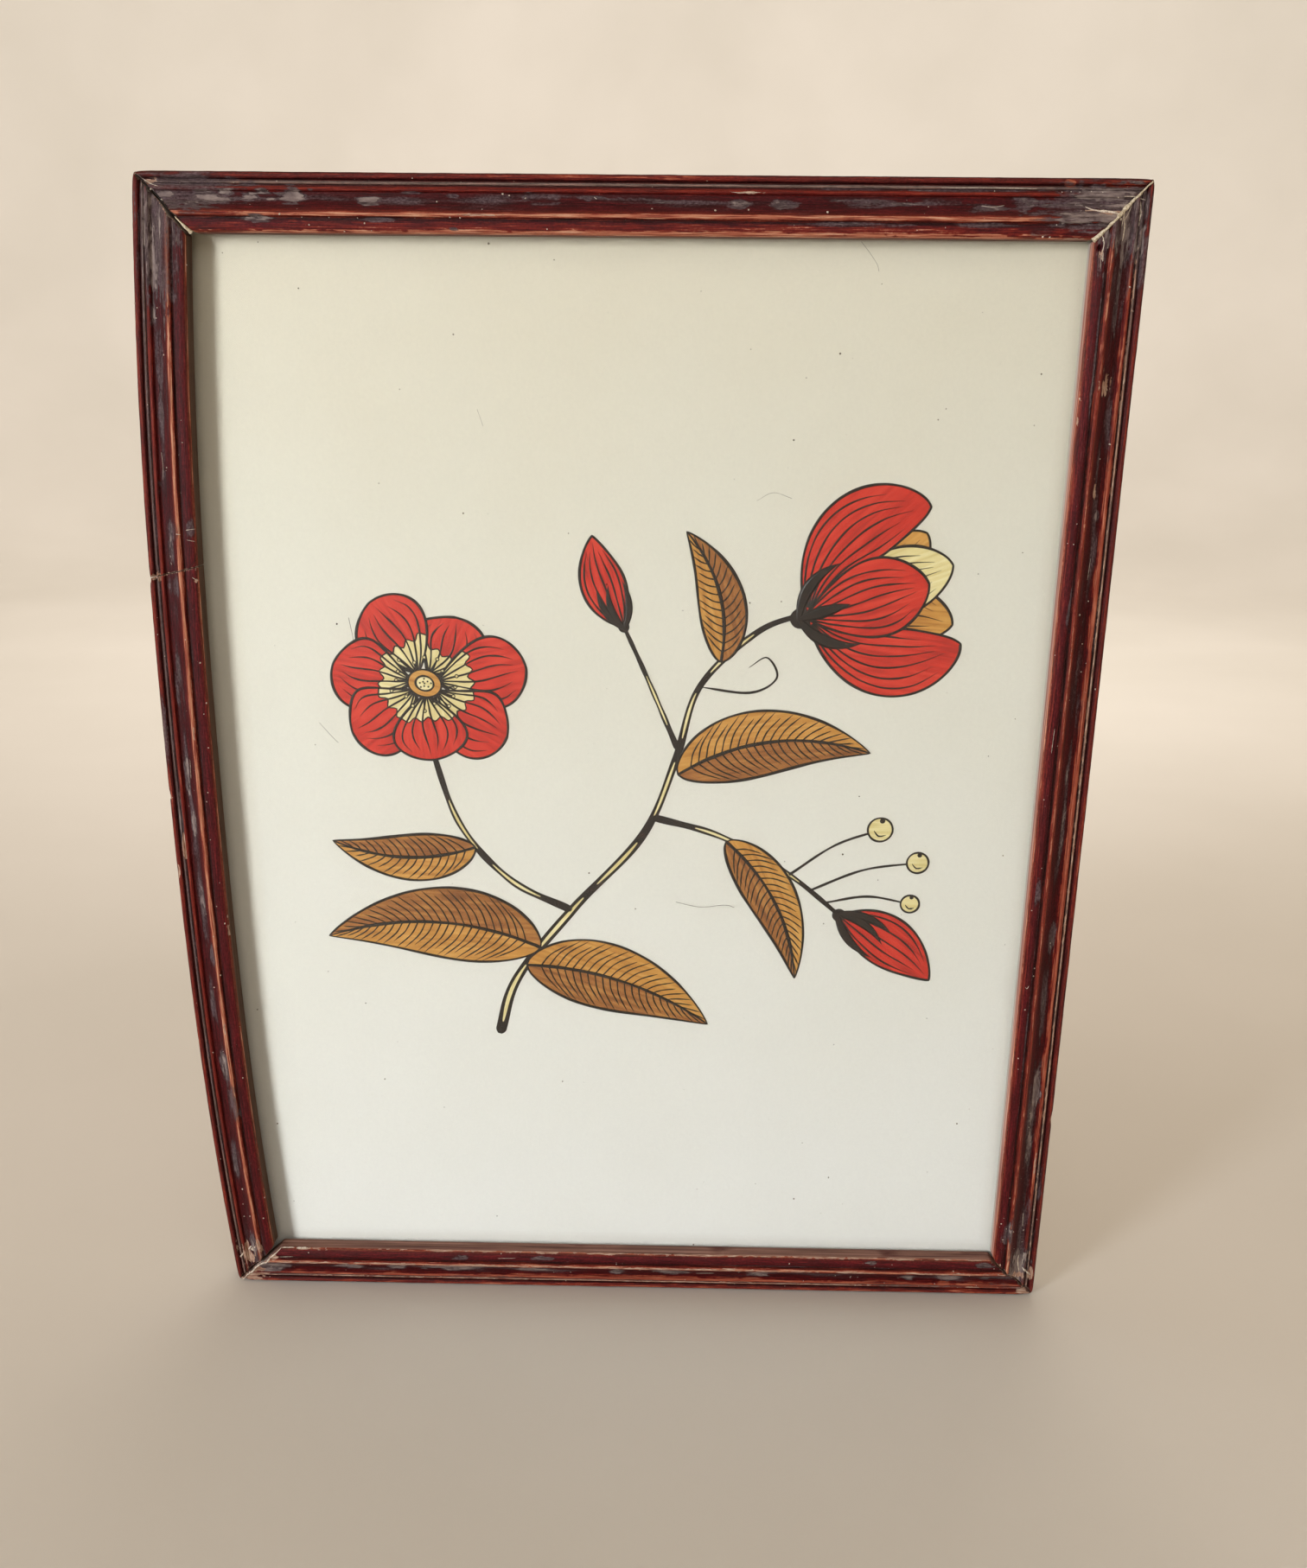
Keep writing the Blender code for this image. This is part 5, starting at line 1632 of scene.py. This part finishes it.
def makeSawnPine():
    # Thin sawn pine boards, browned by age: long grain, saw marks across it, damp stains and greyed patches
    material, tree, shader = newMaterial("sawnPine")
    place = addNode(tree, "ShaderNodeTexCoord").outputs["Object"]
    bendPlace = addNode(tree, "ShaderNodeMapping", {"Vector": place, "Scale": (14, 1, 2.2)}).outputs[0]
    bend = addNode(
        tree, "ShaderNodeTexNoise", {"Vector": bendPlace, "Scale": 1, "Detail": 2}
    ).outputs["Fac"]
    parts = addNode(tree, "ShaderNodeSeparateXYZ", {"Vector": place}).outputs
    # growth rings about 5 mm apart
    ringPlace = addNode(tree, "ShaderNodeMath", {0: parts["X"], 1: 1250.0}, operation="MULTIPLY").outputs[0]
    swerve = addNode(
        tree, "ShaderNodeMath", {0: bend, 1: 60.0, 2: ringPlace}, operation="MULTIPLY_ADD"
    ).outputs[0]
    ring = addNode(tree, "ShaderNodeMath", {0: swerve}, operation="SINE").outputs[0]
    fibrePlace = addNode(tree, "ShaderNodeMapping", {"Vector": place, "Scale": (1100, 1, 26)}).outputs[0]
    fibre = addNode(
        tree, "ShaderNodeTexNoise", {"Vector": fibrePlace, "Scale": 1, "Detail": 5}
    ).outputs["Fac"]
    mixed = addNode(
        tree, "ShaderNodeMath", {0: ring, 1: 0.13, 2: fibre}, operation="MULTIPLY_ADD"
    ).outputs[0]
    wood = addNode(
        tree, "ShaderNodeValToRGB", {"Fac": mixed},
        stops=((0.3, "5E422B"), (0.44, "7D5B3B"), (0.56, "93704B"), (0.72, "AC8A60")),
    ).outputs["Color"]
    stain = addNode(tree, "ShaderNodeTexNoise", {"Vector": place, "Scale": 11, "Detail": 5}).outputs["Fac"]
    damp = addNode(
        tree, "ShaderNodeMapRange", {"Value": stain, "From Min": 0.5, "From Max": 0.68, "To Max": 0.6}
    ).outputs["Result"]
    stained = addNode(
        tree, "ShaderNodeMix", {0: damp, 6: wood, 7: linear("54402F")}, data_type="RGBA"
    ).outputs[2]
    greyed = addNode(
        tree, "ShaderNodeMapRange", {"Value": stain, "From Min": 0.46, "From Max": 0.3, "To Max": 0.5}
    ).outputs["Result"]
    colour = addNode(
        tree, "ShaderNodeMix", {0: greyed, 6: stained, 7: linear("9A8E7C")}, data_type="RGBA"
    ).outputs[2]
    tree.links.new(colour, shader.inputs["Base Color"])
    shader.inputs["Roughness"].default_value = 0.82
    # saw marks about 2 mm apart, a little askew
    sawPlace = addNode(tree, "ShaderNodeMath", {0: parts["Z"], 1: 3100.0}, operation="MULTIPLY").outputs[0]
    askew = addNode(
        tree, "ShaderNodeMath", {0: parts["X"], 1: 420.0, 2: sawPlace}, operation="MULTIPLY_ADD"
    ).outputs[0]
    saw = addNode(tree, "ShaderNodeMath", {0: askew}, operation="SINE").outputs[0]
    relief = addNode(
        tree, "ShaderNodeMath", {0: saw, 1: 0.16, 2: fibre}, operation="MULTIPLY_ADD"
    ).outputs[0]
    bump = addNode(tree, "ShaderNodeBump", {"Strength": 0.55, "Distance": 0.0004, "Height": relief})
    tree.links.new(bump.outputs["Normal"], shader.inputs["Normal"])
    return material


def makeRustedSteel():
    # Mild steel strip and wire, stamped and drawn, dulled and freckled with rust
    material, tree, shader = newMaterial("rustFreckledSteel")
    place = addNode(tree, "ShaderNodeTexCoord").outputs["Object"]
    freckle = addNode(
        tree, "ShaderNodeTexNoise", {"Vector": place, "Scale": 700, "Detail": 5, "Roughness": 0.6}
    ).outputs["Fac"]
    patch = addNode(tree, "ShaderNodeTexNoise", {"Vector": place, "Scale": 90, "Detail": 3}).outputs["Fac"]
    spread = addNode(
        tree, "ShaderNodeMath", {0: patch, 1: 0.8, 2: freckle}, operation="MULTIPLY_ADD"
    ).outputs[0]
    rust = addNode(
        tree, "ShaderNodeMapRange", {"Value": spread, "From Min": 0.9, "From Max": 1.04}
    ).outputs["Result"]
    browns = addNode(
        tree, "ShaderNodeValToRGB", {"Fac": freckle},
        stops=((0.4, "40261A"), (0.55, "6E4026"), (0.7, "8A5634")),
    ).outputs["Color"]
    colour = addNode(
        tree, "ShaderNodeMix", {0: rust, 6: linear("7E7A74"), 7: browns}, data_type="RGBA"
    ).outputs[2]
    tree.links.new(colour, shader.inputs["Base Color"])
    metal = addNode(
        tree, "ShaderNodeMapRange", {"Value": rust, "To Min": 1.0, "To Max": 0.0}
    ).outputs["Result"]
    tree.links.new(metal, shader.inputs["Metallic"])
    rough = addNode(
        tree, "ShaderNodeMapRange", {"Value": rust, "To Min": 0.38, "To Max": 0.85}
    ).outputs["Result"]
    tree.links.new(rough, shader.inputs["Roughness"])
    bump = addNode(tree, "ShaderNodeBump", {"Strength": 0.3, "Distance": 0.0002, "Height": rust})
    tree.links.new(bump.outputs["Normal"], shader.inputs["Normal"])
    return material


sawnPine = makeSawnPine()
rustedSteel = makeRustedSteel()
for plank in ("backing_plank_left", "backing_plank_right"):
    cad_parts[plank].data.materials[0] = sawnPine

panelPins = {"headLength": 0.6 * mm, "headEdge": 0.12 * mm, "shankShare": 0.7, "sides": 14}


def pinLine(node):
    # one pin along the solid it stands for, its head over the planks
    low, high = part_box(node)
    size = high - low
    axis = max(range(3), key=lambda i: size[i])
    middle = (low + high) / 2
    head = min(size[i] for i in range(3)) / 2
    inner = low[axis] if middle[axis] > (sheetMiddle if axis == 2 else 0) else high[axis]
    outer = high[axis] if inner == low[axis] else low[axis]
    length = abs(outer - inner)
    shank = head * panelPins["shankShare"]
    under = panelPins["headLength"] + 0.02 * mm
    distances = (0, panelPins["headEdge"], panelPins["headLength"], under, length)
    halves = (head * 0.86, head * 0.985, head * 0.985, shank, shank)
    points = []
    for distance in distances:
        point = middle.copy()
        point[axis] = inner + (outer - inner) * distance / length
        points.append(point)
    return points, halves


pinNodes = sorted(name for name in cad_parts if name.startswith("pin_"))
pins = runTree(
    "panelPins", linesMesh("panelPins", [pinLine(node) for node in pinNodes]), sweepTree,
    {"Sides": panelPins["sides"], "Material": rustedSteel},
)
pins.data.shade_smooth()
pins.data.set_sharp_from_angle(angle=math.radians(40))
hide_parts(*pinNodes)


def nailLine(node):
    # a domed head on the hanger's plate
    low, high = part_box(node)
    middle = (low + high) / 2
    radius = (high.x - low.x) / 2
    points, halves = [], []
    for turn in np.radians((0, 8, 20, 34, 50, 66, 80, 88)):
        points.append((middle.x, low.y + (high.y - low.y) * math.sin(turn), middle.z))
        halves.append(radius * 0.99 * math.cos(turn) ** 0.8)
    return points, halves


nailNodes = ("hanger_nail_left", "hanger_nail_right")
nails = runTree(
    "hangerNails", linesMesh("hangerNails", [nailLine(node) for node in nailNodes]), sweepTree,
    {"Sides": 28, "Material": rustedSteel},
)
nails.data.shade_smooth()
nails.data.set_sharp_from_angle(angle=math.radians(50))
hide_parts(*nailNodes)

hanger = {  # mm; a stamped strip, its middle pushed out from the wood and toothed below
    "halfLength": 23.0,
    "thickness": 0.8,
    "raise": 1.4,
    "ramp": (12.8, 16.0),
    "toothPitch": 2.6,
    "toothCount": 9,
    "toothDepth": 1.5,
    "cornerCut": 1.3,
    "edgeRound": 0.16,
}


def hangerColumns():
    # (x, how far the strip stands off, its lower edge) in mm
    rampIn, rampOut = hanger["ramp"]
    plain = -hanger["toothDepth"] / 2
    right = []
    for i in range(hanger["toothCount"] + 1):
        x = i * hanger["toothPitch"] / 2
        right.append((x, hanger["raise"], -hanger["toothDepth"] if i % 2 else 0.0))
    for t in np.linspace(0, 1, 9):
        swell = 1 - t * t * (3 - 2 * t)
        right.append((rampIn + (rampOut - rampIn) * t, hanger["raise"] * swell, plain))
    right.append((hanger["halfLength"] - 1.2, 0.0, plain))
    right.append((hanger["halfLength"] - 0.3, 0.0, plain + 0.5))
    right.append((hanger["halfLength"], 0.0, plain + hanger["cornerCut"]))
    return [(-x, stand, edge) for x, stand, edge in right[:0:-1]] + right


def makeHanger():
    low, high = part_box("hanger_plate")
    mesh = bpy.data.meshes.new("sawtoothHanger")
    bm = bmesh.new()
    columns = []
    for x, stand, edge in hangerColumns():
        inner = low.y + stand * mm
        outer = inner + hanger["thickness"] * mm
        upper = high.z - max(0.0, abs(x) - hanger["halfLength"] + hanger["cornerCut"]) * mm
        corners = ((inner, upper), (inner, edge * mm), (outer, edge * mm), (outer, upper))
        columns.append([bm.verts.new((x * mm, y, z)) for y, z in corners])
    for a, b in zip(columns, columns[1:]):
        for i in range(4):
            j = (i + 1) % 4
            bm.faces.new((a[i], a[j], b[j], b[i]))
    bm.faces.new(columns[0])
    bm.faces.new(columns[-1])
    bmesh.ops.recalc_face_normals(bm, faces=bm.faces)
    bm.to_mesh(mesh)
    bm.free()
    mesh.materials.append(rustedSteel)
    strip = bpy.data.objects.new("sawtoothHanger", mesh)
    bpy.context.collection.objects.link(strip)
    rounded = strip.modifiers.new("edgeRound", "BEVEL")
    rounded.width = hanger["edgeRound"] * mm
    rounded.segments = 2
    rounded.angle_limit = math.radians(40)
    mesh.shade_smooth()
    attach(strip, "root")
    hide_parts("hanger_plate")


makeHanger()
print("back finished")


# floor, light and camera

stage = {"flatRadius": 2.2, "wallRadius": 3.4, "wallHeight": 3.2, "gap": 0.5 * mm}  # metres

# seamless paper in a pale warm grey, matt and very faintly mottled
seamlessPaper = makeFlecked("seamlessPaper", 2.5, 3, ((0.3, "D6D2CA"), (0.7, "DEDAD3")), 0.9)


def makeStage():
    # a flat disc whose rim curves up into a far wall all round
    floorZ = frameBottom - stage["gap"]
    rings = [(r, 0.0) for r in (0.02, 0.5, 1.0, 1.6, stage["flatRadius"])]
    curve = stage["wallRadius"] - stage["flatRadius"]
    for turn in np.linspace(0.1, math.pi / 2, 14):
        rings.append((stage["flatRadius"] + curve * math.sin(turn), curve * (1 - math.cos(turn))))
    rings.append((stage["wallRadius"], stage["wallHeight"]))
    sides = 96
    mesh = bpy.data.meshes.new("studioFloor")
    places, faces = [], [list(range(sides))]
    for radius, height in rings:
        for i in range(sides):
            angle = 2 * math.pi * i / sides
            places.append((radius * math.cos(angle), radius * math.sin(angle), floorZ + height))
    for k in range(len(rings) - 1):
        for i in range(sides):
            j = (i + 1) % sides
            faces.append([k * sides + i, (k + 1) * sides + i, (k + 1) * sides + j, k * sides + j])
    mesh.from_pydata(places, [], faces)
    mesh.materials.append(seamlessPaper)
    mesh.shade_smooth()
    floor = bpy.data.objects.new("studioFloor", mesh)
    bpy.context.collection.objects.link(floor)


lamps = {  # place, what it faces, size in metres, watts, colour
    "windowLight": ((-2.1, -2.0, sheetMiddle + 0.5), (0, 0, sheetMiddle), (0.56, 0.95), 47.0, "F3F6FC"),
    "skyFill": ((0.4, -1.9, sheetMiddle + 1.7), (0, 0, sheetMiddle), (2.4, 1.4), 8.0, "F8F9FF"),
    "backFill": ((0.3, 1.6, sheetMiddle + 1.1), (0, 0, sheetMiddle), (1.4, 1.0), 7.0, "FFF8F0"),
    "backdropLight": ((0, 0.9, sheetMiddle + 1.6), (0, 3.4, sheetMiddle + 0.3), (2.4, 0.6), 34.0, "FFFCF8"),
}


def makeLamps():
    for name, (place, target, size, watts, colour) in lamps.items():
        lamp = bpy.data.lights.new(name, "AREA")
        lamp.shape = "RECTANGLE"
        lamp.size, lamp.size_y = size
        lamp.energy = watts
        lamp.color = linear(colour)[:3]
        holder = bpy.data.objects.new(name, lamp)
        holder.location = place
        holder.rotation_euler = (Vector(target) - Vector(place)).to_track_quat("-Z", "Y").to_euler()
        holder.visible_camera = False
        bpy.context.collection.objects.link(holder)
    world = bpy.data.worlds.new("paleRoom")
    world.use_nodes = True
    world.node_tree.nodes["Background"].inputs["Color"].default_value = linear("F2D8B6")
    world.node_tree.nodes["Background"].inputs["Strength"].default_value = 0.6
    bpy.context.scene.world = world


viewpoint = {  # metres, degrees, mm
    "place": (0.0132, -0.5178, -0.0583),
    "turn": (72.911, -0.546, 0.943),
    "lens": 30.562,
}


def makeCamera():
    camera = bpy.data.cameras.new("camera")
    camera.lens = viewpoint["lens"]
    camera.clip_start = 0.01
    holder = bpy.data.objects.new("camera", camera)
    holder.location = viewpoint["place"]
    holder.rotation_euler = [math.radians(angle) for angle in viewpoint["turn"]]
    bpy.context.collection.objects.link(holder)
    bpy.context.scene.camera = holder
    bpy.context.scene.view_settings.view_transform = "Standard"


makeStage()
makeLamps()
makeCamera()
print("stage set")
